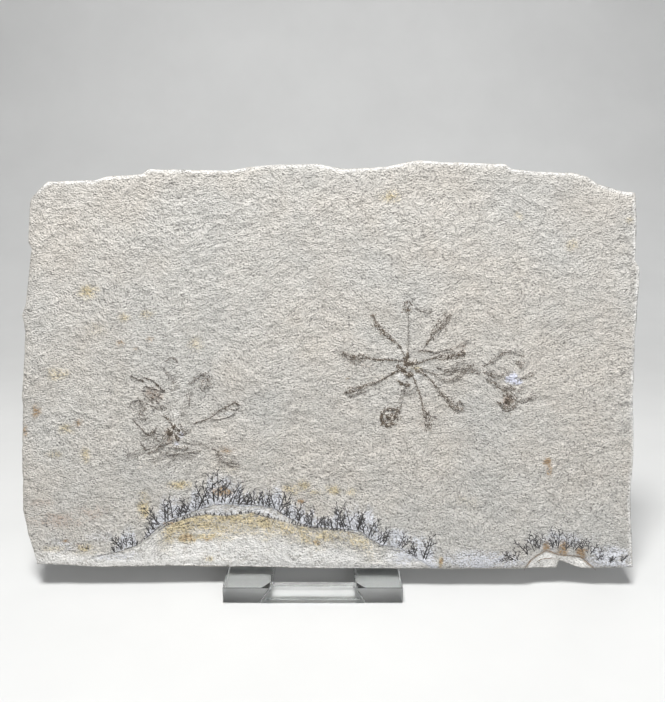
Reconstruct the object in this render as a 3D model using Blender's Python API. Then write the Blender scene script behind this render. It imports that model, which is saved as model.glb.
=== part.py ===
"""Crinoid fossil slab: a thin plate of lithographic limestone with free-swimming
crinoids on its face, leaning back on a small clear acrylic stand.

The object stands on z = 0, faces -Y, and its longest side lies along X.
"""
import math

import bmesh
import bpy
import numpy as np
from mathutils import Vector
from mathutils.geometry import delaunay_2d_cdt

MM = 0.001
GAP = 0.3                    # clearance kept between neighbouring pieces

# ---- the stone -------------------------------------------------------------
LEAN = math.radians(13.0)    # how far the plate leans back from upright
THICK = 9.0                  # plate thickness
EDGE_STEP = 3.6              # length of one facet along the broken edge
EDGE_IN = 0.7                # how far the front arris lies inside the outline
BACK_IN = 1.2                # the same for the back arris
FACE_STEP = 5.2              # spacing of the facets on the bedding face
BACK_STEP = 13.0
SWELL = 0.35                 # height of the slow swells of the bedding face
LENS_STEP = 0.25             # drop of the face at the rim of the wide flake scar
LENS_SLOPE = 0.07            # and how fast the scar deepens below its rim
SPALL_STEP = 0.5             # the same for the small scar at the lower right
SPALL_SLOPE = 0.22
STEP_HALF = 0.45             # half the width of the slope at such a step
FOOT_Y = 10.0                # front arris of the foot, behind the stand's front

# ---- the acrylic stand -------------------------------------------------------
STAND_X = -7.1               # middle of the stand, left of the plate's middle
STAND_WIDE = 70.0
STAND_DEEP = 66.0
BASE_HIGH = 6.5
ARM_WIDE = 18.5
RAIL_DEEP = 4.0
RAIL_MITRE = 4.0             # the rail's ends slope out by this much
RECESS_DEEP = 1.4
RECESS_LOW = 1.3
RECESS_HIGH = 5.8
SHEET = 5.0                  # thickness of the rest and of the braces
REST_LONG = 84.0
BRACE_HIGH = 52.0
BRACE_BACK = 62.0
BRACE_INSET = 6.5
CHAMFER = 0.5

# Outline of the plate, seen from the front, from its upper left corner and
# clockwise: distance right of the middle, distance up from the foot, in mm.
OUTLINE = (
    (-114, 155), (-95, 155.5), (-91, 157), (-76, 158), (-73.5, 160), (-41, 159.5),
    (-28, 161.5), (-5, 162), (5.5, 160), (22, 161), (35, 163.5), (42.5, 163),
    (70, 162), (72.5, 160), (82.5, 159), (97.5, 158.5), (103, 157), (107, 154),
    (117.5, 151), (122, 150.5), (122.5, 137.5), (122, 123.5), (124, 120.5),
    (123, 107.5), (122, 93), (121, 64.5), (121.5, 49), (120, 27.5), (120.5, 12),
    (121, 0.5), (101.5, 0), (99, 0.5), (93, 3), (91.5, 3), (91, 0), (75.5, 0),
    (54, -0.5), (30.5, 0), (-3.5, 0), (-43, 0.5), (-65.5, 1), (-91, 0.5), (-118, 2),
    (-121, 12.5), (-123.5, 23.5), (-124, 51.5), (-123.5, 65.5), (-124, 69),
    (-122.5, 95), (-124, 101.5), (-122.5, 106), (-120.5, 125), (-120, 128.5),
    (-121.5, 131), (-120.5, 148),
)
# Upper rims of the two shallow scars that flakes off the foot have left.
RIM = (
    (-96.5, 0), (-96.5, 4.5), (-84, 7), (-76.5, 10), (-69, 16.5), (-64.5, 19),
    (-57, 22), (-52, 24), (-46.5, 25.5), (-28, 25), (-23, 24), (-19, 21.5),
    (-14.5, 19), (-8.5, 17), (7, 15.5), (12.5, 14.5), (15.5, 12), (20, 9.5),
    (27, 8.5), (31, 6), (37.5, 2.5), (41, -1),
)
SPALL = (
    (77.5, -1), (80, 3), (82.5, 5), (86.5, 7), (91, 5.5), (100, 4.5), (106.5, -1),
)
# Arms of the crinoids, each a line of points with its half width and height.
ARMS = (
    (1.0, 0.39, ((31, 85), (31, 91.5), (31, 97.5), (31, 105.5))),
    (1.3, 0.5, ((29, 84.5), (27.5, 89.5), (22.5, 93.5), (19, 96.5), (17, 101.5))),
    (1.2, 0.44, ((28, 83), (18.5, 83.5), (13, 85), (7.5, 84.5), (4.5, 86.5))),
    (1.2, 0.44, ((29, 80.5), (23, 76.5), (18, 74), (12.5, 72), (6, 71))),
    (1.4, 0.61, ((30.5, 77), (28.5, 70), (27, 64.5), (26.5, 60.5), (23.5, 57),
                (20.5, 59), (21, 63))),
    (1.2, 0.5, ((32.5, 77), (35.5, 69), (37, 63.5), (39, 59), (39.5, 55))),
    (0.9, 0.33, ((37, 63.5), (40, 61), (43, 59.5))),
    (1.3, 0.5, ((35, 79), (39, 76.5), (42.5, 72), (47, 67), (49.5, 64), (53, 63.5),
                (54, 66.5))),
    (1.3, 0.5, ((35, 83), (41.5, 84.5), (48, 85), (54, 86))),
    (1.1, 0.39, ((35.5, 80.5), (42, 77), (47, 79), (56.5, 79.5))),
    (1.3, 0.55, ((33.5, 85), (36.5, 87.5), (39, 91), (42.5, 95.5), (47, 101.5))),
    (1.2, 0.44, ((-59.5, 56.5), (-51, 59), (-44, 63.5), (-36.5, 65.5))),
    (1.4, 0.55, ((-63, 55.5), (-64, 58.5), (-67, 61.5))),
    (1.3, 0.44, ((-62.5, 70.5), (-63, 75.5), (-67, 80), (-66, 83), (-61, 83))),
    (1.3, 0.5, ((-56, 69), (-56, 74), (-51, 77), (-48, 75))),
    (1.3, 0.5, ((-79.5, 76.5), (-71, 75), (-65.5, 71.5))),
    (1.2, 0.5, ((-79, 59.5), (-77, 56.5), (-72, 52.5), (-70, 56.5))),
    (1.1, 0.39, ((-73.5, 45.5), (-68.5, 48), (-63.5, 51.5))),
    (1.3, 0.5, ((-61, 52.5), (-53, 49.5), (-45.5, 47), (-44.5, 43.5))),
    (1.1, 0.39, ((61, 81), (67, 84.5), (72.5, 87))),
    (1.1, 0.33, ((61, 79), (67.5, 77.5), (73, 76))),
    (1.1, 0.39, ((67, 65.5), (71.5, 66.5), (76, 66), (82.5, 68.5))),
)
# Cups and crystal patches: middle, radius, height.
LUMPS = (
    (31.0, 81.0, 4.2, 0.9), (-63.0, 54.0, 3.8, 0.8), (73.0, 76.0, 2.6, 0.5),
    (-71.0, 70.0, 3.6, 0.4),
)

rng = np.random.RandomState(41)


# ---- general helpers ---------------------------------------------------------
def clear_scene():
    """Empty the scene, whatever it opens with."""
    for obj in list(bpy.data.objects):
        bpy.data.objects.remove(obj, do_unlink=True)


def material(name, colour, rough, **more):
    """A plain Principled material."""
    mat = bpy.data.materials.new(name)
    mat.use_nodes = True
    bsdf = mat.node_tree.nodes["Principled BSDF"]
    bsdf.inputs["Base Color"].default_value = (*colour, 1.0)
    bsdf.inputs["Roughness"].default_value = rough
    for key, value in more.items():
        bsdf.inputs[key.replace("_", " ")].default_value = value
    mat.diffuse_color = (*colour, 1.0)
    return mat


def limestone():
    return material("limestone", (0.61, 0.585, 0.54), 0.92)


def acrylic(name):
    mat = material(name, (0.93, 0.95, 0.95), 0.05, IOR=1.49)
    bsdf = mat.node_tree.nodes["Principled BSDF"]
    bsdf.inputs["Transmission Weight"].default_value = 0.9
    return mat


def new_object(name, verts, faces, mat):
    """An object from corner positions in mm, wound to face outwards."""
    mesh = bpy.data.meshes.new(name)
    mesh.from_pydata((np.asarray(verts, float) * MM).tolist(), [], faces)
    mesh.validate()
    bm = bmesh.new()
    bm.from_mesh(mesh)
    bmesh.ops.recalc_face_normals(bm, faces=bm.faces)
    bm.to_mesh(mesh)
    bm.free()
    mesh.materials.append(mat)
    obj = bpy.data.objects.new(name, mesh)
    bpy.context.scene.collection.objects.link(obj)
    return obj


def prism(name, outline, axis, low, high, mat):
    """A flat outline carried straight along X (outline in y, z) or Y (in x, z)."""
    n = len(outline)
    ends = []
    for level in (low, high):
        for a, b in outline:
            ends.append((level, a, b) if axis == "X" else (a, level, b))
    sides = [(i, (i + 1) % n, n + (i + 1) % n, n + i) for i in range(n)]
    faces = [tuple(range(n)), tuple(range(2 * n - 1, n - 1, -1))] + sides
    return new_object(name, ends, faces, mat)


def cut(target, cutter):
    """Take one solid away from another and drop the cutter."""
    mod = target.modifiers.new("cut", "BOOLEAN")
    mod.operation = "DIFFERENCE"
    mod.solver = "EXACT"
    mod.object = cutter
    bpy.context.view_layer.update()
    graph = bpy.context.evaluated_depsgraph_get()
    mesh = bpy.data.meshes.new_from_object(target.evaluated_get(graph))
    target.modifiers.clear()
    target.data = mesh
    bpy.data.objects.remove(cutter, do_unlink=True)


def chamfer(obj, wide, min_angle=60.0):
    """Break the sharp edges of a piece."""
    bm = bmesh.new()
    bm.from_mesh(obj.data)
    sharp = [e for e in bm.edges
             if len(e.link_faces) == 2 and e.calc_face_angle(0.0) > math.radians(min_angle)]
    bmesh.ops.bevel(bm, geom=sharp, offset=wide * MM, segments=1, affect="EDGES",
                    clamp_overlap=True)
    bm.to_mesh(obj.data)
    bm.free()


# ---- the bedding face ----------------------------------------------------------
def near_line(points, line):
    """Distance of each point from a line of straight runs."""
    line = np.asarray(line, float)
    best = np.full(len(points), 1e9)
    for a, b in zip(line[:-1], line[1:]):
        run = b - a
        t = np.clip((points - a) @ run / max(run @ run, 1e-9), 0.0, 1.0)
        best = np.minimum(best, np.hypot(*(points - a - t[:, None] * run).T))
    return best


def inside(points, loop):
    """True for each point that lies inside a closed loop (even-odd rule)."""
    x, y = points.T
    hit = np.zeros(len(points), bool)
    for (xa, ya), (xb, yb) in zip(loop, np.roll(loop, -1, axis=0)):
        if ya == yb:
            continue
        cross = (ya > y) != (yb > y)
        hit ^= cross & (x < xa + (y - ya) * (xb - xa) / (yb - ya))
    return hit


def scar(points, rim, step, slope):
    """Depth of a flake scar: a short step at its rim, then deeper with distance from it."""
    rim = np.asarray(rim, float)
    loop = np.vstack([rim, (rim[-1, 0], -9.0), (rim[0, 0], -9.0)])
    below = np.where(inside(points, loop), 1.0, -1.0) * near_line(points, rim)
    return step * np.clip(0.5 + below / (2 * STEP_HALF), 0.0, 1.0) + slope * np.maximum(below, 0.0)


def face_height(points):
    """Height of the bedding face above its mean plane, in mm.

    Slow swells (a sum of long waves), less the two flake scars, plus a rounded
    ridge for every arm and a dome for every cup.
    """
    u, v = points.T
    high = 0.5 * np.sin(u / 31.0 + 0.6) * np.cos(v / 24.0 + 0.3)
    high += 0.3 * np.sin(u / 11.0 - v / 17.0 + 1.0) + 0.2 * np.sin(v / 7.0 + u / 19.0)
    high *= SWELL
    high -= scar(points, RIM, LENS_STEP, LENS_SLOPE)
    high -= scar(points, SPALL, SPALL_STEP, SPALL_SLOPE)
    ridge = np.zeros(len(points))
    for half, tall, line in ARMS:
        d = near_line(points, line) / half
        ridge = np.maximum(ridge, tall * np.clip(1.0 - d ** 2, 0.0, 1.0))
    for x, y, radius, tall in LUMPS:
        d = np.hypot(u - x, v - y) / radius
        ridge = np.maximum(ridge, tall * np.clip(1.0 - d ** 2, 0.0, 1.0))
    return high + ridge


def walk(line, step):
    """Points spaced evenly along each straight run of an open line."""
    line = np.asarray(line, float)
    out = []
    for a, b in zip(line[:-1], line[1:]):
        n = max(1, int(round(np.linalg.norm(b - a) / step)))
        out += [a + (b - a) * i / n for i in range(n)]
    out.append(line[-1])
    return np.asarray(out)


def beside(line, step, off):
    """The same points moved sideways by a set distance."""
    pts = walk(line, step)
    run = np.gradient(pts, axis=0)
    run /= np.maximum(np.linalg.norm(run, axis=1, keepdims=True), 1e-9)
    return pts + off * np.column_stack([-run[:, 1], run[:, 0]])


def broken_edge():
    """The outline walked in short facets, each corner moved a little at random."""
    loop = walk(OUTLINE + (OUTLINE[0],), EDGE_STEP)[:-1]
    loop = loop + rng.uniform(-0.3, 0.3, loop.shape)
    loop[:, 0] = np.clip(loop[:, 0], -124.0, 124.0)
    loop[:, 1] = np.maximum(loop[:, 1], -0.1)
    return loop


def inset(loop, deep):
    """Each corner of a clockwise loop moved inwards by its own distance."""
    run = np.roll(loop, -1, axis=0) - np.roll(loop, 1, axis=0)
    run /= np.linalg.norm(run, axis=1, keepdims=True)
    return loop + np.column_stack([run[:, 1], -run[:, 0]]) * deep[:, None]


def feature_lines():
    """Lines of facet corners along both sides of each step and ridge, and round each dome."""
    lines = []
    for rim in (RIM, SPALL):
        lines += [beside(rim, 3.0, off) for off in (-STEP_HALF, STEP_HALF)]
    for half, _, line in ARMS:
        lines += [beside(line, 2.6, off) for off in (-half, 0.0, half)]
    turn = np.linspace(0.0, 2.0 * math.pi, 10, endpoint=False)
    for x, y, radius, _ in LUMPS:
        lines.append(np.array([[x, y]]))
        for share in (0.55, 1.0):
            lines.append(np.column_stack([x + share * radius * np.cos(turn),
                                          y + share * radius * np.sin(turn)]))
    return lines


def face_points(loop):
    """Facet corners of the bedding face, and the pairs of them that share an edge.

    Close ones follow each feature line, less those that would crowd another;
    even ones fill the rest of the face.
    """
    shut = np.vstack([loop, loop[:1]])
    keep = np.empty((0, 2))
    pairs = []
    for line in feature_lines():
        last = None
        for point in line:
            crowded = len(keep) and np.min(np.hypot(*(keep - point).T)) < 0.55
            off_face = not inside(point[None], loop)[0] or near_line(point[None], shut)[0] < 1.3
            if crowded or off_face:
                last = None
                continue
            if last is not None:
                pairs.append((last, len(keep)))
            last = len(keep)
            keep = np.vstack([keep, point])
    xs, ys = np.meshgrid(np.arange(-122.0, 123.0, FACE_STEP), np.arange(2.0, 162.0, FACE_STEP))
    even = np.column_stack([xs.ravel(), ys.ravel()])
    even += rng.uniform(-0.3, 0.3, even.shape) * FACE_STEP
    even = even[inside(even, loop) & (near_line(even, shut) > 1.3)]
    clear = np.array([np.min(np.hypot(*(keep - p).T)) for p in even])
    return np.vstack([keep, even[clear > 1.9]]), pairs


def fill(loop, pts, pairs=()):
    """Triangles inside a loop, through the loop's corners and the given points."""
    n = len(loop)
    flat = [Vector(p) for p in np.vstack([loop, pts])]
    edges = [(i, (i + 1) % n) for i in range(n)] + [(n + a, n + b) for a, b in pairs]
    out, _, tris, origin, _, _ = delaunay_2d_cdt(flat, edges, [], 1, 1e-5)
    place = {}
    for new, old in enumerate(origin):
        for i in old:
            place[i] = new
    order = [place[i] for i in range(n)]
    return np.array([tuple(v) for v in out]), [tuple(t) for t in tris], order


def limestone_slab():
    """The plate: two filled faces joined by two rings of broken facets."""
    edge = broken_edge()
    n = len(edge)
    front = inset(edge, EDGE_IN + rng.uniform(-0.25, 0.35, n))
    rear = inset(edge, BACK_IN + rng.uniform(-0.4, 0.6, n))
    fu, ft, forder = fill(front, *face_points(front))
    xs, ys = np.meshgrid(np.arange(-116.0, 117.0, BACK_STEP), np.arange(8.0, 156.0, BACK_STEP))
    grid = np.column_stack([xs.ravel(), ys.ravel()]) + rng.uniform(-3.0, 3.0, (xs.size, 2))
    grid = grid[inside(grid, rear) & (near_line(grid, np.vstack([rear, rear[:1]])) > 4.0)]
    ru, rt, rorder = fill(rear, grid)
    fw = 0.35 - face_height(fu)
    rw = THICK - rng.uniform(0.0, 0.5, len(ru))
    mid = THICK * 0.45 + rng.uniform(-1.2, 1.2, n)
    flat = np.vstack([np.column_stack([fu, fw]), np.column_stack([edge, mid]),
                      np.column_stack([ru, rw])])
    a, b = len(fu), len(fu) + n
    faces = list(ft) + [tuple(b + i for i in t) for t in rt]
    for i in range(n):
        j = (i + 1) % n
        faces += [(forder[i], forder[j], a + j), (forder[i], a + j, a + i)]
        faces += [(a + i, a + j, b + rorder[j]), (a + i, b + rorder[j], b + rorder[i])]
    return new_object("limestone_slab", lean_back(flat), faces, limestone())


def lean_back(flat):
    """From (right, up the plate, into the plate) to where the plate stands."""
    u, v, w = flat.T
    foot_z = BASE_HIGH + GAP + THICK * math.sin(LEAN) + 0.15
    y = FOOT_Y - STAND_DEEP / 2 + v * math.sin(LEAN) + w * math.cos(LEAN)
    z = foot_z + v * math.cos(LEAN) - w * math.sin(LEAN)
    return np.column_stack([u, y, z])


# ---- the stand -----------------------------------------------------------------
FRONT_Y = -STAND_DEEP / 2
LEFT_X = STAND_X - STAND_WIDE / 2
RIGHT_X = STAND_X + STAND_WIDE / 2


def rail_outline(grow):
    """The rail seen from the front: narrow at the top, wide at the foot."""
    left = LEFT_X + ARM_WIDE - grow
    right = RIGHT_X - ARM_WIDE + grow
    return ((left - RAIL_MITRE, 0.0), (right + RAIL_MITRE, 0.0), (right, BASE_HIGH),
            (left, BASE_HIGH))


def stand_arm(side):
    """One flat arm of the base, its inner front corner mitred for the rail."""
    low = LEFT_X if side == "left" else RIGHT_X - ARM_WIDE
    box = ((low, 0.0), (low + ARM_WIDE, 0.0), (low + ARM_WIDE, BASE_HIGH), (low, BASE_HIGH))
    arm = prism("stand_arm_" + side, box, "Y", FRONT_Y, FRONT_Y + STAND_DEEP,
                acrylic("clear_arm_" + side))
    (x0, _), (x1, _), (x2, _), (x3, _) = rail_outline(GAP)
    slope = RAIL_MITRE / BASE_HIGH
    tall = ((x0 - slope * 2, -2.0), (x1 + slope * 2, -2.0),
            (x2 - slope * 2, BASE_HIGH + 2.0), (x3 + slope * 2, BASE_HIGH + 2.0))
    cutter = prism("cutter", tall, "Y", FRONT_Y - 2.0, FRONT_Y + RAIL_DEEP + GAP,
                   arm.data.materials[0])
    cut(arm, cutter)
    chamfer(arm, CHAMFER)
    return arm


def stand_rail():
    """The bar across the front, with its long shallow recess."""
    rail = prism("stand_rail", rail_outline(0.0), "Y", FRONT_Y, FRONT_Y + RAIL_DEEP,
                 acrylic("clear_rail"))
    (x0, _), (x1, _), (x2, _), (x3, _) = rail_outline(-1.2)
    slope = RAIL_MITRE / BASE_HIGH
    panel = ((x0 + slope * RECESS_LOW, RECESS_LOW), (x1 - slope * RECESS_LOW, RECESS_LOW),
             (x2 + slope * (BASE_HIGH - RECESS_HIGH), RECESS_HIGH),
             (x3 - slope * (BASE_HIGH - RECESS_HIGH), RECESS_HIGH))
    cutter = prism("cutter", panel, "Y", FRONT_Y - 2.0, FRONT_Y + RECESS_DEEP,
                   rail.data.materials[0])
    cut(rail, cutter)
    return rail


def rest_line():
    """Where the front face of the rest starts on the base."""
    foot_z = BASE_HIGH + GAP + THICK * math.sin(LEAN) + 0.15
    rear_y = FOOT_Y + FRONT_Y + THICK * math.cos(LEAN)
    rear_z = foot_z - THICK * math.sin(LEAN)
    base = BASE_HIGH + GAP
    return rear_y + GAP / math.cos(LEAN) + (base - rear_z) * math.tan(LEAN), base


def stand_rest():
    """The leaning sheet that the plate lies against."""
    y, z = rest_line()
    deep = SHEET / math.cos(LEAN)
    up_y = REST_LONG * math.sin(LEAN)
    up_z = REST_LONG * math.cos(LEAN)
    out_y = SHEET * math.cos(LEAN)
    out_z = -SHEET * math.sin(LEAN)
    side = ((y, z), (y + deep, z), (y + up_y + out_y, z + up_z + out_z), (y + up_y, z + up_z))
    rest = prism("stand_rest", side, "X", LEFT_X, RIGHT_X, acrylic("clear_rest"))
    chamfer(rest, CHAMFER)
    return rest


def stand_brace(side):
    """A three-cornered sheet behind the rest, one over each arm."""
    y, z = rest_line()
    y += (SHEET + GAP) / math.cos(LEAN)
    low = LEFT_X + BRACE_INSET if side == "left" else RIGHT_X - BRACE_INSET - SHEET
    top_y = y + BRACE_HIGH * math.tan(LEAN)
    outline = ((y, z), (FRONT_Y + BRACE_BACK, z), (FRONT_Y + BRACE_BACK, z + 5.0),
               (top_y + 5.0, z + BRACE_HIGH), (top_y, z + BRACE_HIGH))
    brace = prism("stand_brace_" + side, outline, "X", low, low + SHEET,
                  acrylic("clear_brace_" + side))
    chamfer(brace, CHAMFER)
    return brace


def main():
    clear_scene()
    limestone_slab()
    stand_rail()
    for side in ("left", "right"):
        stand_arm(side)
        stand_brace(side)
    stand_rest()


main()
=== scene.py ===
"""Looks of a crinoid fossil slab on a clear acrylic stand.

The plate's own frame is used throughout: u runs right, v runs up the plate from
its foot and w runs into the plate from its bedding face, all in millimetres.
"""
import math

import bpy
import numpy as np
from bpy.props import FloatProperty, FloatVectorProperty, IntProperty, PointerProperty
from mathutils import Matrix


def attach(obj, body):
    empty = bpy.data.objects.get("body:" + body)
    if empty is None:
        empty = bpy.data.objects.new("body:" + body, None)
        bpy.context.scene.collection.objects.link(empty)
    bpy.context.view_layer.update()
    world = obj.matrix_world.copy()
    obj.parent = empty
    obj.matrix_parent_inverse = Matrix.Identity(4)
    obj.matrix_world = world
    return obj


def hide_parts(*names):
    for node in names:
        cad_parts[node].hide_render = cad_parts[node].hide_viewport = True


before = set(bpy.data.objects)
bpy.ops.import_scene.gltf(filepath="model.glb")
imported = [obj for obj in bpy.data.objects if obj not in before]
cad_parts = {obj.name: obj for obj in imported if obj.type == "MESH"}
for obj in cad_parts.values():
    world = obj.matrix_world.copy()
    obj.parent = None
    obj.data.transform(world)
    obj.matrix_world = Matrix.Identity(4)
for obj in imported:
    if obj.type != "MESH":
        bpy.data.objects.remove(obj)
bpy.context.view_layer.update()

bl_info = {
    "name": "Crinoid fossil slab",
    "version": (1, 0, 0),
    "blender": (4, 5, 0),
    "location": "View3D > Sidebar > Fossil",
    "description": "Builds a limestone slab with crinoids and dendrites on a clear stand",
    "category": "Add Mesh",
}

MM = 0.001                   # a millimetre, in metres

# ---- the stand (metres) --------------------------------------------------------
STAND_NODES = [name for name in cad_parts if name.startswith("stand_")]
SEAM_MIDDLE = -7.1 * MM      # half way between the arms' inner edges
SEAM_HALF = 16.5 * MM        # from there to the cement along each of them

# ---- the plate (mm) ------------------------------------------------------------
LEAN = math.radians(13.0)    # how far it leans back from upright
THICK = 9.0
WIDE, HIGH = 244.0, 158.0
AROUND = 820.0               # distance once round the outline
FOOT_Y = -23.0               # front arris of the foot, in the world
FOOT_Z = 8.975
FACE_W = 0.35                # mean plane of the bedding face
SWELL = 0.35                 # height of the face's long waves
LENS_DROP = (0.25, 0.07)     # step at the wide scar's rim, and its slope below that
CHIP_DROP = (0.5, 0.22)      # the same for the small scar at the lower right
LEDGE_DROP = 0.5             # further drop at the chip's inner ledge
STEP_HALF = 0.45             # half the width of the slope at a scar's rim
ARRIS_IN = 0.55              # how far the front arris lies inside the outline
# Rings of the broken edge: one point for how many of the outline's, depth, place
# in the fracture noise, how far inside the outline, reach of the noise, seed.
EDGE_RINGS = (
    (1, 1.25, 1.5, 0.15, 0.25, 81), (1, 2.6, 3.0, 0.0, 0.25, 82), (3, 4.2, 4.2, 0.0, 0.4, 83),
    (3, 5.8, 5.8, 0.1, 0.4, 83), (3, 7.2, 7.2, 0.35, 0.4, 83), (3, 8.3, 8.3, 0.75, 0.4, 83),
)
BACK_RIM = (3, 9.0, 9.0, 1.5, 0.45, 84)
# Cells of the face across and up it, both multiples of COARSE, and how densely
# they lie: share of the way, weight. They are closer over the fossils and bushes.
COARSE = 3
ACROSS, UP = 354, 228
ACROSS_DENSE = (
    (0.0, 1.3), (0.14, 1.1), (0.16, 1.7), (0.36, 1.7), (0.40, 1.3), (0.52, 1.5),
    (0.72, 1.7), (0.84, 1.6), (0.86, 2.2), (0.92, 2.2), (0.94, 1.2), (1.0, 1.3),
)
UP_DENSE = ((0.0, 1.6), (0.25, 1.5), (0.66, 1.5), (0.72, 1.0), (1.0, 1.0))

# ---- what lies on the face (mm) --------------------------------------------------
WIDER = 1.12                 # the arms' drawn half widths are taken times this
LANES = np.array([[-0.85], [-0.45], [-0.1], [0.3], [0.7]])     # an arm's threads, across it
ARM_RIDGE = 0.26             # height of the low ridge along a fully dark arm
THREAD_RISE, THREAD_SINK = 0.09, 0.05      # an arm thread's crest over the face, sides under it
PLATE_POINTS = 14            # a rim of six, a raised ring of six, the top and the underside
SIDES, TWIGS = 6, 3          # side branches of a bush's stem, and twigs of a side branch
STEM_RISE, SIDE_RISE, TWIG_RISE = 0.07, 0.06, 0.055            # their crests over the face
FILM_SINK = 0.03             # how far the sides of the film's ribbons lie under the face
# How strong a stain has to be to show at all, and to hide the stone.
STAIN_EDGES = {
    "chalk_and_highlight": (0.05, 0.9), "slate": (0.05, 0.85), "ochre": (0.05, 1.0), "rust": (0.12, 1.0),
    "blush": (0.12, 1.05), "crystal": (0.1, 0.6), "umber": (0.22, 1.05),
}

# ---- the stage ---------------------------------------------------------------------
AIM = (0.6, 87.2)            # the point of the face that the lens looks at (u, v)
FILL_SHARE, BACK_SHARE = 0.17, 0.36        # the other lamps' power as shares of the key's
SKY_STRENGTH = 0.24

# ---- outline, one list for each side, corner to corner (u, v) -----------------
FOOT = (
    (-118, 2), (-91, 0.5), (-65.5, 1), (-43, 0.5), (-3.5, 0), (30.5, 0), (54, -0.1), (75.5, 0),
    (91, 0), (91.6, 3), (93, 3), (99, 0.5), (101.5, 0), (121, 0.5),
)
RIGHT = (
    (121, 0.5), (120.5, 12), (120, 27.5), (121.5, 49), (121, 64.5), (122, 93), (123, 107.5),
    (123.9, 120.5), (122, 123.5), (122.5, 137.5), (122, 150.5),
)
TOP = (
    (-117.6, 151.3), (-114, 155), (-95, 155.5), (-91, 157), (-76, 158), (-73.5, 160),
    (-41, 159.5), (-28, 161.5), (-5, 162), (5.5, 160), (22, 161), (35, 163.5), (42.5, 163),
    (70, 162), (72.5, 160), (82.5, 159), (97.5, 158.5), (103, 157), (107, 154), (117.5, 151),
    (122, 150.5),
)
LEFT = (
    (-118, 2), (-121, 12.5), (-123.5, 23.5), (-123.9, 51.5), (-123.5, 65.5), (-123.9, 69),
    (-122.5, 95), (-123.9, 101.5), (-122.5, 106), (-120.5, 125), (-120, 128.5), (-121.5, 131),
    (-120.5, 148), (-117.6, 151.3),
)

# ---- flake scars at the foot (u, v) -------------------------------------------
SCAR_RIM = (
    (-96.5, 0), (-96.5, 4.5), (-84, 7), (-76.5, 10), (-69, 16.5), (-64.5, 19), (-57, 22),
    (-52, 24), (-46.5, 25.5), (-28, 25), (-23, 24), (-19, 21.5), (-14.5, 19), (-8.5, 17),
    (7, 15.5), (12.5, 14.5), (15.5, 12), (20, 9.5), (27, 8.5), (31, 6), (37.5, 2.5), (41, -1),
)
CHIP_RIM = ((77.5, -1), (80, 3), (82.5, 5), (86.5, 7), (91, 5.5), (100, 4.5), (106.5, -1))
CHIP_INNER = ((81, 0), (84, 3), (89, 3.6), (92, 3.2))
# where the lens's yellow stain begins
YELLOW_LINE = (
    (-72, 13), (-66, 17.2), (-60, 19.2), (-56, 20.6), (-50.4, 21.6), (-42.4, 20.8), (-31.3, 22.3),
    (-28.9, 21.3), (-21.6, 19.4), (-15, 17.6), (-8, 16.2), (7, 14.8), (13, 13.2), (20, 8.6),
    (28, 7),
)


class Arm:
    """One crinoid arm: its route, where its feathery end begins, that end's half width,
    how dark it is, and how much of that its bare inner part keeps."""

    def __init__(self, route, feather=0.45, half=1.1, dark=1.0, stem=0.8):
        self.route = np.asarray(route, float)
        self.feather = feather
        self.half = WIDER * half
        self.dark = dark
        self.stem = stem


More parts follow.
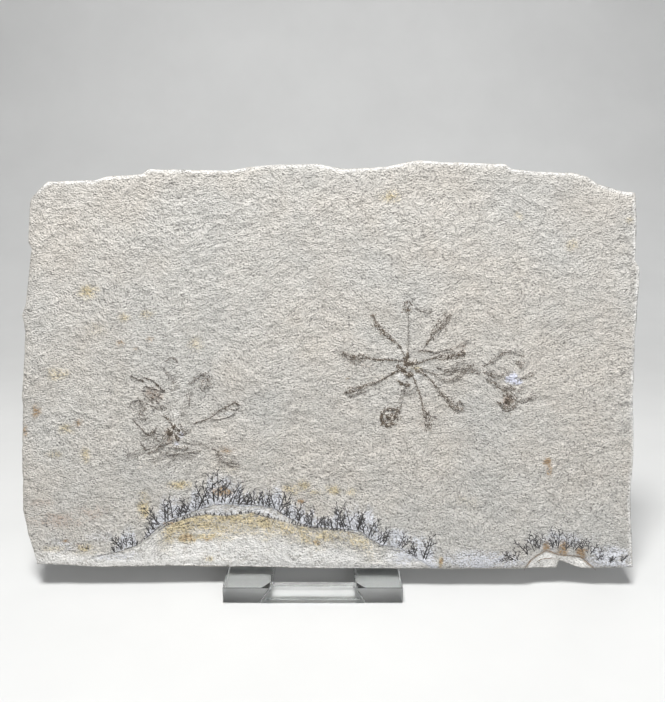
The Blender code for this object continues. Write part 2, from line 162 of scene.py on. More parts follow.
# ---- crinoids -----------------------------------------------------------------
CRINOIDS = {
    "crinoid_main": [
        Arm(((30.8, 86.6), (31, 91.5), (31, 98), (31, 102.5)), 0.95, 0.5, 0.8, 0.3),
        Arm(((31, 101.6), (30.8, 104), (30, 107.4)), 0.1, 1.6, 0.9, 0.5),
        Arm(((33.4, 104.4), (36.6, 103.4), (40.6, 103)), 0.2, 0.7, 0.4),
        Arm(((30, 84.5), (27, 89.5), (22.5, 93.5), (19, 97), (16.4, 101.9)), 0.3, 0.8, 1, 0.7),
        Arm(((29, 83), (23, 83.6), (18.5, 83.6), (13, 85), (8, 84.5), (4.5, 86.5)), 0.5, 1, 0.9),
        Arm(((13.5, 83.4), (10, 82.4), (7, 83.6)), 0.3, 0.8, 0.6),
        Arm(((28.5, 80.5), (26, 79), (23, 77), (18, 74.5), (12.5, 72.6),
             (5.4, 70.4)), 0.5, 0.9, 0.9),
        Arm(((14, 71), (10, 69.6), (7, 69.4)), 0.3, 0.5, 0.5),
        Arm(((31, 74), (29.6, 71.4), (28.4, 68.4), (27.6, 65.6)), 0.2, 0.8, 0.35, 0.3),
        Arm(((28.4, 66), (27.6, 64), (26.8, 62), (26, 59.6)), 0.3, 0.5, 0.8, 0.6),
        Arm(((20.4, 62.4), (20.2, 60), (21.4, 57.9), (23.3, 57.2),
             (25.4, 58.4)), 0.1, 0.45, 1.6, 1),
        Arm(((20.6, 62.6), (22.2, 63.6), (24.6, 63.8), (27.2, 63.2)), 0.1, 0.6, 1.1, 1),
        Arm(((22.2, 61.4), (24, 60.2), (25.8, 61.4)), 0.05, 1.2, 1.5, 1),
        Arm(((28, 71.4), (31, 70.6), (34, 70.2)), 0.2, 1.2, 0.45),
        Arm(((32.6, 78), (34, 74), (35.6, 69.5), (37.2, 64), (39, 59),
             (39.8, 54.5)), 0.6, 1.3, 0.9, 0.7),
        Arm(((37, 63.5), (40, 61.2), (43, 60)), 0.9, 0.4, 0.7),
        Arm(((34, 79.5), (38.8, 76.8), (42.5, 72.4), (47, 67.2), (49.8, 64),
             (53.2, 63.6)), 0.4, 0.8, 1, 0.7),
        Arm(((50.4, 64.8), (51.4, 67), (53.6, 64.6)), 0.9, 0.3, 0.8),
        Arm(((35, 82.2), (37.5, 83.2), (41.5, 84.4), (48, 85), (54, 86.4)), 0.35, 0.9, 1, 0.7),
        Arm(((41, 86), (46, 87.4), (50, 86.6)), 0.4, 0.6, 0.6),
        Arm(((50, 88.2), (52, 90), (55, 91.6)), 0.3, 1, 0.5),
        Arm(((35, 80.5), (41.8, 77.6), (46, 75.2), (50, 76), (55, 80),
             (57.6, 82)), 0.2, 0.7, 0.55, 0.6),
        Arm(((42, 80.6), (47, 79.2), (51, 79.8), (56.5, 79.5), (60, 78)), 0.1, 0.7, 0.55, 0.6),
        Arm(((44, 77.8), (48, 78.6), (50, 81.4), (53.6, 82.8)), 0.1, 0.9, 0.4, 0.6),
        Arm(((36.5, 87.2), (39, 90.8), (41, 93.6), (44, 98),
             (47.6, 102.6)), 0.35, 1.7, 0.6, 0.12),
        Arm(((40, 94), (43.4, 96), (46.6, 99.4), (47.8, 102)), 0.3, 0.5, 0.8),
        Arm(((38.4, 90), (40, 92.2), (41.4, 92.4)), 0.9, 0.4, 1.2),
        Arm(((35, 87.4), (37.4, 87.2), (41.4, 86.6)), 0.9, 0.3, 0.9),
        Arm(((30.8, 86.8), (30.5, 84.5), (29.8, 83), (31, 82), (32.6, 81.8),
             (34.8, 82.9)), 0.2, 0.6, 2.2, 1),
        Arm(((26.6, 81.4), (28, 79.8), (29.4, 78.6), (30.6, 77.4), (31.6, 77),
             (32.2, 78.8)), 0.2, 0.6, 2.2, 1),
        Arm(((34, 79.2), (35.4, 79.3), (37.2, 78)), 0.5, 0.3, 1.6, 1),
        Arm(((26.6, 75.4), (28.4, 74.2), (31.4, 73.6)), 0.3, 0.5, 1.2, 1),
        Arm(((24, 77.4), (25.6, 78.6), (27.4, 79.2)), 0.9, 0.3, 1, 1),
    ],
    "crinoid_left": [
        Arm(((-55.4, 58), (-51.2, 59.2), (-48.2, 60.6), (-45, 63.2), (-41.6, 64.8), (-38.6, 66.4),
             (-36.4, 65.2)), 0.95, 0.4, 1.1, 1),
        Arm(((-36.6, 64.6), (-38.4, 63.4), (-41, 64), (-43, 62.8)), 0.9, 0.3, 0.7),
        Arm(((-48.6, 59.6), (-45, 59.8), (-42, 60.4), (-38, 62.2)), 0.9, 0.3, 0.5),
        Arm(((-63, 55.6), (-64.4, 58.6), (-67.6, 61.6)), 0.9, 0.5, 1.1),
        Arm(((-63.6, 56.6), (-62.4, 56), (-60.6, 54.6)), 0.2, 0.5, 1.6, 1),
        Arm(((-62.6, 54), (-61.8, 52.8), (-61, 51.4)), 0.2, 0.4, 1.6, 1),
        Arm(((-60.4, 58), (-60, 56.4), (-59, 54.6)), 0.2, 0.5, 0.9, 1),
        Arm(((-66, 83), (-64.4, 84.6), (-62.6, 84), (-61.3, 82.2)), 0.95, 0.3, 0.9),
        Arm(((-67.4, 80.6), (-65, 77.6), (-63.4, 75.6), (-62.4, 71)), 0.15, 0.9, 0.7),
        Arm(((-56.8, 65.4), (-56.6, 69), (-56, 72.6)), 0.3, 0.6, 0.5),
        Arm(((-57.4, 74), (-55, 75.2), (-53.4, 76.6), (-51, 77.6), (-48.6, 76), (-49, 73.6),
             (-51.8, 72.8), (-53.2, 74.6)), 0.05, 1.1, 0.85, 1),
        Arm(((-80.2, 77.2), (-76.8, 75.6), (-74.6, 75)), 0.95, 0.3, 1),
        Arm(((-74.8, 76.6), (-71.4, 75.2), (-68.4, 72.4), (-66.6, 70.6)), 0.95, 0.35, 1.2),
        Arm(((-76, 71.4), (-73, 70.6), (-70.6, 68)), 0.3, 1.4, 0.45),
        Arm(((-72, 73), (-69.4, 70.6), (-68.6, 68.6)), 0.3, 1, 0.4),
        Arm(((-77.4, 68.6), (-76, 66.6), (-73, 65.8)), 0.3, 1.2, 0.5),
        Arm(((-79.4, 59.8), (-77, 57), (-72.4, 53.4), (-70.6, 55.2), (-70, 57.2)), 0.9, 0.4, 0.9),
        Arm(((-76.2, 50.2), (-74, 47.4)), 0.9, 0.3, 0.8),
        Arm(((-74, 45.8), (-70.6, 47), (-68.2, 48.6), (-66, 51)), 0.3, 0.8, 0.8),
        Arm(((-59.6, 50.8), (-57, 50.2), (-53, 50), (-48.4, 48.2)), 0.2, 0.5, 0.4, 0.7),
        Arm(((-48, 48), (-46.2, 47.4), (-44.8, 45.4), (-44.4, 43.4)), 0.3, 0.5, 0.9, 0.8),
        Arm(((-74.6, 73), (-71, 71.8), (-66.8, 70.6)), 0.9, 0.3, 0.6),
        Arm(((-73, 69), (-70.2, 67.4), (-68.4, 66)), 0.9, 0.3, 0.85),
        Arm(((-71.6, 70.2), (-69.4, 68.8), (-67.4, 67.8)), 0.9, 0.3, 0.75),
        Arm(((-75.4, 70.4), (-73, 68), (-71.2, 65.8)), 0.9, 0.3, 0.45),
        Arm(((-63.4, 48.6), (-60, 48), (-57, 48.6)), 0.3, 0.7, 0.9, 1),
        Arm(((-58, 46.4), (-54, 46.6), (-52, 47)), 0.3, 0.4, 0.7, 1),
        Arm(((-45.4, 43), (-42, 42.2), (-36.2, 41.2)), 0.4, 0.8, 0.6),
        Arm(((-81, 64), (-79.8, 66.6), (-76.6, 67.2), (-75, 64.4), (-76.6, 61.6),
             (-74, 59.4)), 0.3, 0.8, 0.65),
        Arm(((-72.6, 65.6), (-69.4, 64.4), (-66, 65)), 0.3, 0.8, 0.7),
        Arm(((-68, 50.4), (-71, 52.6), (-71.8, 56)), 0.3, 0.7, 0.6),
        Arm(((-66, 45.2), (-61, 45.6), (-55, 44)), 0.3, 0.6, 0.5),
        Arm(((-78.4, 67), (-75.4, 62), (-73, 58)), 0.05, 2.4, 0.35, 1),
        Arm(((-70, 48), (-62, 46), (-54, 45)), 0.05, 2.2, 0.35, 1),
        Arm(((-60, 60.5), (-58, 66), (-56.4, 72)), 0.05, 1.5, 0.3, 1),
        Arm(((-46.4, 46), (-43, 43.6), (-38, 42)), 0.05, 2, 0.4, 1),
        Arm(((-64, 50.4), (-70, 48.6), (-76, 46.8), (-82, 44.6)), 0.2, 1, 0.6, 0.5),
        Arm(((-63.4, 49.2), (-67, 45.4), (-72, 42.8)), 0.2, 0.9, 0.5, 0.5),
        Arm(((-62, 49.4), (-62.6, 45), (-65.6, 41.4)), 0.2, 0.8, 0.5, 0.5),
        Arm(((-66, 53), (-71, 53.8), (-76, 51.6)), 0.2, 1, 0.55, 0.5),
        Arm(((-63.8, 55.4), (-65.6, 53.6), (-66.6, 51.4)), 0.05, 1.3, 1.3, 1),
        Arm(((-61.2, 53.4), (-58.4, 54.2), (-56.4, 56)), 0.1, 0.7, 0.9, 1),
    ],
    "crinoid_right": [
        Arm(((60.8, 78.8), (63.4, 78), (66.4, 77), (69, 77.6)), 0.1, 1, 0.85, 0.8),
        Arm(((62.2, 76), (65, 74.4), (67.8, 73), (71, 72.4), (74, 72)), 0.1, 0.8, 0.85, 0.8),
        Arm(((61, 81), (64, 82.8), (66.6, 84.4), (69, 86.6), (72.6, 87)), 0.2, 0.7, 0.65),
        Arm(((74.2, 83.4), (75.4, 82), (77, 80.4)), 0.1, 0.9, 0.8),
        Arm(((73, 86.6), (75.6, 86), (77.4, 84.4)), 0.2, 0.6, 0.45),
        Arm(((67.6, 80.8), (70.4, 79.6), (71.4, 78)), 0.2, 0.6, 0.5),
        Arm(((66.6, 66.8), (68.6, 65.4), (71, 63.8), (72.8, 64.6), (73.4, 67), (71.4, 69.8),
             (68.8, 70.6)), 0.05, 1, 1.05, 1),
        Arm(((70, 67.8), (71.6, 66.4), (71, 65)), 0.05, 1.1, 1.2, 1),
        Arm(((72.4, 68), (75.6, 66.8), (79.6, 68), (82.6, 68.8)), 0.2, 0.7, 0.65),
        Arm(((74.6, 70.4), (76.4, 72.4), (77.4, 74.2)), 0.2, 0.7, 0.5),
        Arm(((75.4, 75.6), (78.4, 76.8), (81.4, 78.4)), 0.3, 0.7, 0.6),
    ],
}
# how bold each one looks on the stone
STRENGTH = {"crinoid_main": 0.88, "crinoid_left": 0.62, "crinoid_right": 0.8}
# dark marks on each cup: u, v, reach along, reach up
CUP_MARKS = {
    "crinoid_main": ((30.6, 84.4, 0.8, 1.2), (33.2, 82.2, 1.4, 0.6), (28.8, 79.6, 0.9, 1),
        (31.4, 77.6, 0.9, 1), (30.4, 82.2, 1, 1)),
    "crinoid_left": ((-64.4, 54.2, 1.3, 1.3), (-63.2, 56.6, 0.9, 0.8), (-61, 55.2, 0.6, 0.5),
        (-62, 52.6, 0.4, 0.9)),
    "crinoid_right": ((70.8, 66.8, 1.3, 1.2),),
}
# low domes: u, v, radius, height
LUMPS = (
    (31, 81, 4.2, 0.9), (-63, 54, 3.8, 0.8), (73, 76, 2.6, 0.5), (-71, 70, 3.6, 0.4),
    (28.4, 77.2, 2.2, 0.9), (35.4, 77.2, 1.6, 0.7), (-41, 62.6, 3, 0.5),
)

# ---- dendrites ----------------------------------------------------------------
# height of the bushes along the scar's rim: u, height
BUSH_HEIGHT = (
    (-96, 0), (-88, 0.6), (-85, 6), (-82, 9), (-79, 6.5), (-77.6, 0), (-75.6, 0), (-73.5, 3),
    (-71, 6), (-69.5, 6.5), (-68.5, 10), (-67, 11), (-64, 9.5), (-61, 8.5), (-59.3, 6),
    (-58.4, 4.5), (-56.6, 6.5), (-55.6, 11), (-53.7, 10), (-52.2, 5.5), (-50.6, 6.5), (-49.4, 13),
    (-46.5, 14.8), (-44, 14.5), (-41, 13.5), (-39, 10.5), (-36, 11), (-35.2, 3.5), (-34.2, 6.5),
    (-32.8, 6.5), (-32.2, 3), (-31.3, 6.5), (-30, 6), (-29.4, 3), (-28.6, 7), (-27.6, 7),
    (-27, 4), (-26.3, 8), (-25.2, 8), (-24.7, 5), (-23.6, 9), (-21, 11.5), (-19.8, 10),
    (-19.3, 3), (-17, 4), (-16.2, 7), (-14.7, 9), (-13.4, 4.5), (-12.6, 7.5), (-10.4, 8.5),
    (-9.5, 3.5), (-8.6, 6.5), (-7.2, 8), (-5.8, 5), (-4.5, 3.8), (0.6, 4.5), (1.3, 6), (2.4, 8.5),
    (3.4, 7.5), (4.2, 4), (5.4, 8.5), (7, 11), (11, 11), (12.5, 7.5), (13.6, 10), (15, 12),
    (18, 10), (19, 5.5), (21.5, 5), (22.4, 0), (25.4, 0), (26.6, 6.5), (28, 6), (28.8, 0),
    (31, 0), (32, 3.5), (34.5, 8), (36, 11), (38, 9.5), (40, 9), (41.5, 5), (43.5, 3), (45, 1),
)
# pairs of bushes round the chip: u, v, heading in degrees, height
CHIP_FANS = (
    (71.5, 2.5, 140, 4.5), (74.5, 3.5, 128, 6.5), (78.5, 5.5, 118, 7.5), (81.5, 7, 106, 8),
    (83.5, 7.6, 92, 7.5), (88.5, 8, 88, 6), (91, 7.8, 95, 9.5), (94.5, 7.4, 82, 7),
    (97.5, 7, 68, 6.8), (101, 6.6, 84, 5.5), (104, 5.4, 74, 7), (107.5, 3.4, 58, 6),
    (112, 2.4, 60, 4), (117, 2.2, 70, 3.5),
)
# dark hairlines: line, half width, tone (over 1.3 is brown), how far they wander
HAIRLINES = (
    (SCAR_RIM[1:4], 0.2, 0.0, 0.35), (SCAR_RIM[3:17], 0.38, 0.0, 0.35),
    (SCAR_RIM[16:-1], 0.18, 0.0, 0.35), (YELLOW_LINE, 0.18, 0.0, 0.35),
    (CHIP_RIM, 0.26, 2.0, 0.15), (CHIP_INNER, 0.4, 2.0, 0.15),
)

# ---- stains: u, v, reach along, reach up, strength ----------------------------
OCHRE = (
    (-97.6, 110.8, 4.5, 3, 0.45), (-82.8, 100.8, 3, 2.2, 0.35), (-74, 101.6, 3, 2, 0.35),
    (-109.8, 78, 5, 3, 0.3), (-54.4, 89.6, 3.5, 3, 0.3), (-106.4, 56, 4, 2.5, 0.3),
    (-98.6, 45.6, 2, 3.5, 0.35), (-110.8, 45.6, 3.5, 2.5, 0.3), (-75, 24.8, 2.5, 5, 0.65),
    (-61, 33.4, 5, 1.8, 0.6), (24, 149.2, 4.5, 3.2, 0.35), (75.2, 141.2, 3, 2, 0.25),
    (96, 129.6, 4, 3, 0.25), (44, 2.6, 0.9, 2.2, 0.9), (-6, 10.2, 1.8, 1.4, 0.8),
    (-11, 33, 3, 3, 0.35), (-6.8, 30.4, 4, 2, 0.3), (1, 31.6, 3, 2.4, 0.45),
    (8.4, 30.2, 3.5, 2, 0.3), (-15.8, 32, 4, 2.5, 0.4), (-58, 12, 3.6, 2.2, 0.9),
    (-50, 12.6, 6, 1.6, 0.6), (-49.2, 3.2, 2, 1.4, 0.5), (-111, 8, 6, 1.8, 0.3),
    (-98.6, 8.4, 3.4, 1.5, 0.7), (120, 139.6, 2, 2, 0.3), (-94, 96, 7, 4, 0.15),
    (54, 27, 8, 5, 0.12), (-42, 40, 9, 4, 0.15),
)
RUST = (
    (-43.8, 31, 4, 1.9, 0.85), (-118.4, 62.8, 2.4, 3.2, 0.45), (-101.4, 58.4, 2.2, 1.8, 0.4),
    (-84.4, 90.4, 2.2, 1.6, 0.35), (-72.4, 92, 2, 1.4, 0.3), (-78.4, 88, 2, 1.4, 0.25),
    (-122.8, 56, 1.6, 4, 0.35), (-101.5, 9.6, 1.6, 0.8, 0.35), (-95.6, 8, 1.4, 0.9, 0.3),
    (86.6, 43, 1.9, 2.2, 0.38), (87.6, 39, 1.5, 3.2, 0.46), (6.6, 76, 0.9, 0.8, 0.35),
    (-41.8, 47.4, 3, 2, 0.34), (-12.4, 26.8, 1.6, 1, 0.55), (-106, 11, 2.5, 0.9, 0.4),
    (7, 13.8, 1.2, 0.9, 0.35), (-85, 72, 3, 5, 0.12), (-58, 12, 3.4, 2, 0.34),
    (-50, 11.2, 4, 0.9, 0.25), (-6, 10.2, 1.8, 1.3, 0.36), (44, 2.6, 0.9, 2.2, 0.5),
    (-65, 18, 3, 0.8, 0.4),
)
CHIP_FLAMES = ((86.4, 8.8, 1.7, 2.4, 0.9), (93.2, 8, 3, 2.4, 0.9), (100.6, 6.4, 2.8, 2.6, 0.85))
BLUSH = (
    (-71.4, 69.8, 4.8, 4, 0.55), (51, 88.4, 4, 2.6, 0.45), (14, 81.4, 6, 2.2, 0.3),
    (71.2, 67.2, 2.6, 2.6, 0.9), (-65, 52.8, 2, 3.4, 0.7), (-52.6, 75, 3.6, 2, 0.35),
    (36, 57.4, 3, 3, 0.35), (-79, 41, 5, 2, 0.3), (76, 82.4, 2, 2.4, 0.35),
    (-110, 19.5, 13, 3.6, 0.6), (-95, 22.5, 9, 3.4, 0.5), (-116, 26, 8, 3, 0.4),
)
PALE_SPOTS = (
    (28.4, 76.9, 2.1, 1.5, 1), (34.4, 76.6, 1.7, 1, 0.9), (-40.8, 61.9, 3.6, 0.9, 0.85),
    (-66, 58.6, 2.4, 1.6, 0.3), (-62.4, 62, 3, 3, 0.35), (28, 87, 2, 2, 0.3),
)
HONEY_SPOTS = ((33.6, 80.2, 2.4, 1.2, 0.9), (20, 76.5, 6, 2, 0.25))
CRYSTAL = (
    (72.6, 76.2, 2, 2.2, 1), (-60, 53.8, 1.2, 1.8, 0.4), (-61.6, 50, 1.4, 1, 0.3),
    (75.4, 75.2, 1.6, 1.4, 0.6),
)
SLATE = (
    (26, 12, 5, 3.4, 1), (36, 8, 5, 5, 0.9), (-92, 12.5, 8, 3.2, 0.3), (60, 3, 18, 3.5, 0.85),
    (-106, 9, 9, 4, 0.4), (-86, 5, 10, 2.6, 0.5), (112, 4, 9, 5, 0.9), (92, 11, 14, 4.5, 0.5),
    (30, 5, 8, 4, 0.7),
)


# ---- shape formulas --------------------------------------------------------------
def noise(x, y, seed=0):
    """Value noise from -1 to 1: random lattice values, blended by the 3t^2 - 2t^3 curve."""
    xi = np.floor(x)
    yi = np.floor(y)
    fx = x - xi
    fy = y - yi
    fx = fx * fx * (3.0 - 2.0 * fx)
    fy = fy * fy * (3.0 - 2.0 * fy)
    xi = xi.astype(np.int64)
    yi = yi.astype(np.int64)

    def lattice(a, b):
        """A number from -1 to 1 for each whole (a, b), scrambled from their bits."""
        n = a * 374761393 + b * 668265263 + seed * 362437
        n = (n ^ (n >> 13)) * 1274126177
        n = n ^ (n >> 16)
        return (n & 0xFFFF) / 32767.5 - 1.0

    low = lattice(xi, yi) * (1 - fx) + lattice(xi + 1, yi) * fx
    high = lattice(xi, yi + 1) * (1 - fx) + lattice(xi + 1, yi + 1) * fx
    return low * (1 - fy) + high * fy


def octaves(x, y, count, seed=0):
    """A sum of value noises, each twice as fine and half as strong as the last."""
    total = np.zeros(np.broadcast(x, y).shape)
    for k in range(count):
        total += noise(x * 2 ** k, y * 2 ** k, seed + 11 * k) / 2 ** k
    return total / 1.6


def smooth(x, low, high):
    """0 below low, 1 above high, and the 3t^2 - 2t^3 curve between."""
    t = np.clip((x - low) / (high - low), 0.0, 1.0)
    return t * t * (3.0 - 2.0 * t)


def stacked(*parts):
    """Arrays side by side along a new last axis."""
    return np.stack(parts, axis=-1)


def run_lengths(line):
    """Length of each straight run of a line."""
    return np.hypot(*np.diff(line, axis=0).T)


def distances(line):
    """Distance along a line of each of its points."""
    return np.concatenate([[0.0], np.cumsum(run_lengths(line))])


def path_frame(path):
    """Unit directions along a path and across it, to its left."""
    run = np.gradient(path, axis=-2)
    run /= np.maximum(np.linalg.norm(run, axis=-1, keepdims=True), 1e-9)
    return run, stacked(-run[..., 1], run[..., 0])


def nearest(u, v, line):
    """For each run of a line: the share of it nearest to each place, and the distance there."""
    for (a, b), (c, d) in zip(line[:-1], line[1:]):
        size = max((c - a) ** 2 + (d - b) ** 2, 1e-9)
        t = np.clip(((u - a) * (c - a) + (v - b) * (d - b)) / size, 0.0, 1.0)
        yield t, np.hypot(u - a - t * (c - a), v - b - t * (d - b))


def near_line(u, v, line):
    """Distance of each place from a line of straight runs."""
    best = np.full(np.shape(u), 1e9)
    for _, gap in nearest(u, v, line):
        best = np.minimum(best, gap)
    return best


def route_share(u, v, line):
    """How far along a line, from 0 to 1, its point nearest to each place is."""
    runs = run_lengths(line)
    best = np.full(np.shape(u), 1e9)
    share = np.zeros(np.shape(u))
    for k, (t, gap) in enumerate(nearest(u, v, line)):
        share = np.where(gap < best, (runs[:k].sum() + t * runs[k]) / runs.sum(), share)
        best = np.minimum(best, gap)
    return share


def below_line(u, v, line):
    """Signed distance: how far each place lies under a line that runs left to right."""
    us, vs = np.asarray(line, float).T
    order = np.maximum.accumulate(us + np.arange(len(us)) * 1e-6)
    inside = (u > us[0]) & (u < us[-1]) & (v < np.interp(u, order, vs))
    return np.where(inside, 1.0, -1.0) * near_line(u, v, line)


def spots(u, v, places, ragged=0.35):
    """The strongest of some soft ovals, exp(-1.1 r^2), with r bent by noise."""
    total = np.zeros(np.shape(u))
    bend = ragged * octaves(u / 2.4, v / 1.9, 3, 5)
    for cu, cv, ru, rv, strong in places:
        r = np.hypot((u - cu) / ru, (v - cv) / rv) + bend
        total = np.maximum(total, strong * np.exp(-np.maximum(r, 0.0) ** 2 * 1.1))
    return total


def strongest(*stains):
    """The largest of several arrays, place by place."""
    total = stains[0]
    for stain in stains[1:]:
        total = np.maximum(total, stain)
    return total


def scar(u, v, rim, step, slope):
    """Depth of a flake scar: a short step at its rim, then deeper with distance from it."""
    below = below_line(u, v, rim)
    return step * np.clip(0.5 + below / (2 * STEP_HALF), 0.0, 1.0) + slope * np.maximum(below, 0.0)


def swirl(u, v):
    """Coordinates along and across the face's fine streaks, whose direction wanders."""
    turn = 0.48 * noise(u / 30.0 + 3.1, v / 26.0, 21) + 0.06
    return u * np.cos(turn) + v * np.sin(turn), v * np.cos(turn) - u * np.sin(turn)


def dome(distance):
    """1 in the middle of a ridge or dome, falling to 0 at its edge as 1 - d^2."""
    return np.clip(1.0 - distance ** 2, 0.0, 1.0)


def face_height(u, v, grain):
    """Height of the bedding face over its mean plane.

    Long waves, less the flake scars, plus a low ridge along every arm, a dome
    for every cup, and streaky grain: noise stretched along the streaks, which
    fades inside the wide scar.
    """
    waves = 0.5 * np.sin(u / 31.0 + 0.6) * np.cos(v / 24.0 + 0.3)
    waves += 0.3 * np.sin(u / 11.0 - v / 17.0 + 1.0) + 0.2 * np.sin(v / 7.0 + u / 19.0)
    high = SWELL * waves - scar(u, v, SCAR_RIM, *LENS_DROP) - scar(u, v, CHIP_RIM, *CHIP_DROP)
    high -= LEDGE_DROP * smooth(below_line(u, v, CHIP_INNER), -0.3, 0.3)
    ridge = np.zeros(np.shape(u))
    for arms in CRINOIDS.values():
        for arm in arms:
            off = near_line(u, v, arm.route) / (0.45 + 0.6 * arm.half)
            ridge = np.maximum(ridge, ARM_RIDGE * arm.dark * dome(off))
    for cu, cv, radius, tall in LUMPS:
        ridge = np.maximum(ridge, tall * dome(np.hypot(u - cu, v - cv) / radius))
    along, across = swirl(u, v)
    rough = 1.2 * octaves(along / 4.6, across / 3.4, 2, 3)
    rough += 0.8 * noise(along / 1.9, across / 1.6, 4)
    worn = 1.0 - 0.5 * smooth(below_line(u, v, SCAR_RIM), 3.0, 9.0)
    return high + ridge + grain * rough * worn


def lean_back(u, v, w):
    """From the plate's own frame, in mm, to the world, in metres."""
    y = FOOT_Y + v * math.sin(LEAN) + w * math.cos(LEAN)
    z = FOOT_Z + v * math.cos(LEAN) - w * math.sin(LEAN)
    return stacked(u, y, z) * MM


def coons(foot, right, top, left, s, t):
    """A grid between four edges: the two ruled surfaces added, less the corners' bilinear one."""
    s = s[:, None, None]
    t = t[None, :, None]
    ruled = (1 - t) * foot[:, None] + t * top[:, None] + (1 - s) * left[None] + s * right[None]
    corners = ((1 - s) * (1 - t) * foot[0] + s * (1 - t) * foot[-1]
               + (1 - s) * t * top[0] + s * t * top[-1])
    return ruled - corners


def spaced(count, dense):
    """Places from 0 to 1, packed closer where the density (place, weight) is higher."""
    fine = np.linspace(0.0, 1.0, 4001)
    places, weights = np.transpose(dense)
    total = np.concatenate([[0.0], np.cumsum(np.interp(fine[1:], places, weights))])
    return np.interp(np.linspace(0.0, total[-1], count + 1), total, fine)


# ---- meshes and materials ----------------------------------------------------------
def new_piece(name, flat, faces, material, node=None):
    """A limestone mesh object from points in the plate's frame, riding on the one body."""
    verts = lean_back(*flat.T)
    faces = np.asarray(faces, np.int32)
    mesh = bpy.data.meshes.new(name)
    mesh.vertices.add(len(verts))
    mesh.vertices.foreach_set("co", np.ascontiguousarray(verts, np.float32).ravel())
    mesh.loops.add(faces.size)
    mesh.loops.foreach_set("vertex_index", faces.ravel())
    mesh.polygons.add(len(faces))
    mesh.polygons.foreach_set("loop_start", np.arange(0, faces.size, 3, dtype=np.int32))
    mesh.update(calc_edges=True)
    mesh.validate()
    mesh.polygons.foreach_set("use_smooth", np.full(len(mesh.polygons), True))
    mesh.materials.append(material)
    piece = bpy.data.objects.new(name, mesh)
    bpy.context.scene.collection.objects.link(piece)
    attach(piece, "root")
    if node:
        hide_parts(node)
    return piece


def paint(piece, name, values):
    """Keep one number for each vertex, for the material to read."""
    layer = piece.data.attributes.new(name, "FLOAT", "POINT")
    layer.data.foreach_set("value", np.ascontiguousarray(values, np.float32).ravel())


class Nodes:
    """A new material, with short ways to add and wire the shader nodes it needs."""

    def __init__(self, name):
        self.material = bpy.data.materials.new(name)
        self.material.use_nodes = True
        self.tree = self.material.node_tree
        self.shader = self.tree.nodes["Principled BSDF"]

    def wire(self, socket, value):
        """Link a socket to a node's output, or set it to a constant."""
        if isinstance(value, bpy.types.NodeSocket):
            self.tree.links.new(value, socket)
        else:
            socket.default_value = value

    def add(self, kind, inputs=None, **settings):
        node = self.tree.nodes.new("ShaderNode" + kind)
        for key, value in settings.items():
            setattr(node, key, value)
        for key, value in (inputs or {}).items():
            self.wire(node.inputs[key], value)
        return node

    def math(self, operation, a, b=0.0, clamp=False):
        return self.add("Math", {0: a, 1: b}, operation=operation, use_clamp=clamp).outputs[0]

    def plus(self, a, b, clamp=False):
        return self.math("ADD", a, b, clamp)

    def minus(self, a, b):
        return self.math("SUBTRACT", a, b)

    def times(self, a, b):
        return self.math("MULTIPLY", a, b)

    def around(self, value, reach):
        """A noise from 0 to 1 as an offset to either side of nothing."""
        return self.times(self.minus(value, 0.5), reach)

    def span(self, value, low, high, start=0.0, end=1.0, curve="LINEAR"):
        """From start to end as the value goes from low to high."""
        return self.add("MapRange", {"Value": value, "From Min": low, "From Max": high,
                                     "To Min": start, "To Max": end},
                        interpolation_type=curve).outputs[0]

    def ramp(self, value, stops):
        """Grey as a straight line between stops of (value, grey)."""
        node = self.add("ValToRGB", {"Fac": value})
        ramp = node.color_ramp
        while len(ramp.elements) < len(stops):
            ramp.elements.new(0.5)
        for element, (place, grey) in zip(ramp.elements, stops):
            element.position = place
            element.color = (grey, grey, grey, 1.0)
        return node.outputs["Color"]

    def mix(self, factor, a, b, blend="MIX"):
        """Mix colours; a tuple of three is made a whole colour first."""
        node = self.add("Mix", data_type="RGBA", blend_type=blend)
        a, b = ((*c, 1.0) if not isinstance(c, bpy.types.NodeSocket) else c for c in (a, b))
        for key, value in ((0, factor), (6, a), (7, b)):
            self.wire(node.inputs[key], value)
        return node.outputs[2]

    def shade(self, colour, by, factor=1.0):
        """Multiply a colour by a grey, as strongly as the factor says."""
        return self.mix(factor, colour, by, "MULTIPLY")

    def read(self, name):
        """A number painted on the vertices."""
        return self.add("Attribute", attribute_name=name).outputs["Fac"]

    def without(self, name, share):
        """1, less this share of a number painted on the vertices."""
        return self.minus(1.0, self.times(self.read(name), share))

    def noise(self, vector, scale, detail, rough):
        return self.add("TexNoise", {"Vector": vector, "Scale": scale, "Detail": detail,
                                     "Roughness": rough, "Distortion": 0.0}).outputs["Fac"]

    def place(self):
        return self.add("TexCoord").outputs["Object"]

    def stretch(self, vector, scale):
        return self.add("Mapping", {"Vector": vector, "Scale": scale}).outputs[0]

    def along(self, vector, axis):
        return self.add("SeparateXYZ", {0: vector}).outputs[axis]

    def bump(self, height, strength, distance):
        return self.add("Bump", {"Height": height, "Strength": strength,
                                 "Distance": distance}).outputs[0]

    def finish(self, **inputs):
        """Set the shader's own sockets; an underscore stands for a space."""
        for key, value in inputs.items():
            self.wire(self.shader.inputs[key.replace("_", " ")], value)
        return self.material


def plate_coordinates(n, scale):
    """Object coordinates turned upright, and the same bent by slow noise and stretched."""
    upright = n.add("Mapping", {"Vector": n.place(), "Rotation": (LEAN, 0.0, 0.0)}).outputs[0]
    drift = n.add("CombineXYZ", {"Z": n.times(n.noise(upright, 24.0, 1.0, 0.5), 0.02)}).outputs[0]
    bent = n.add("VectorMath", {0: upright, 1: drift}, operation="ADD").outputs[0]
    return upright, n.stretch(bent, scale)


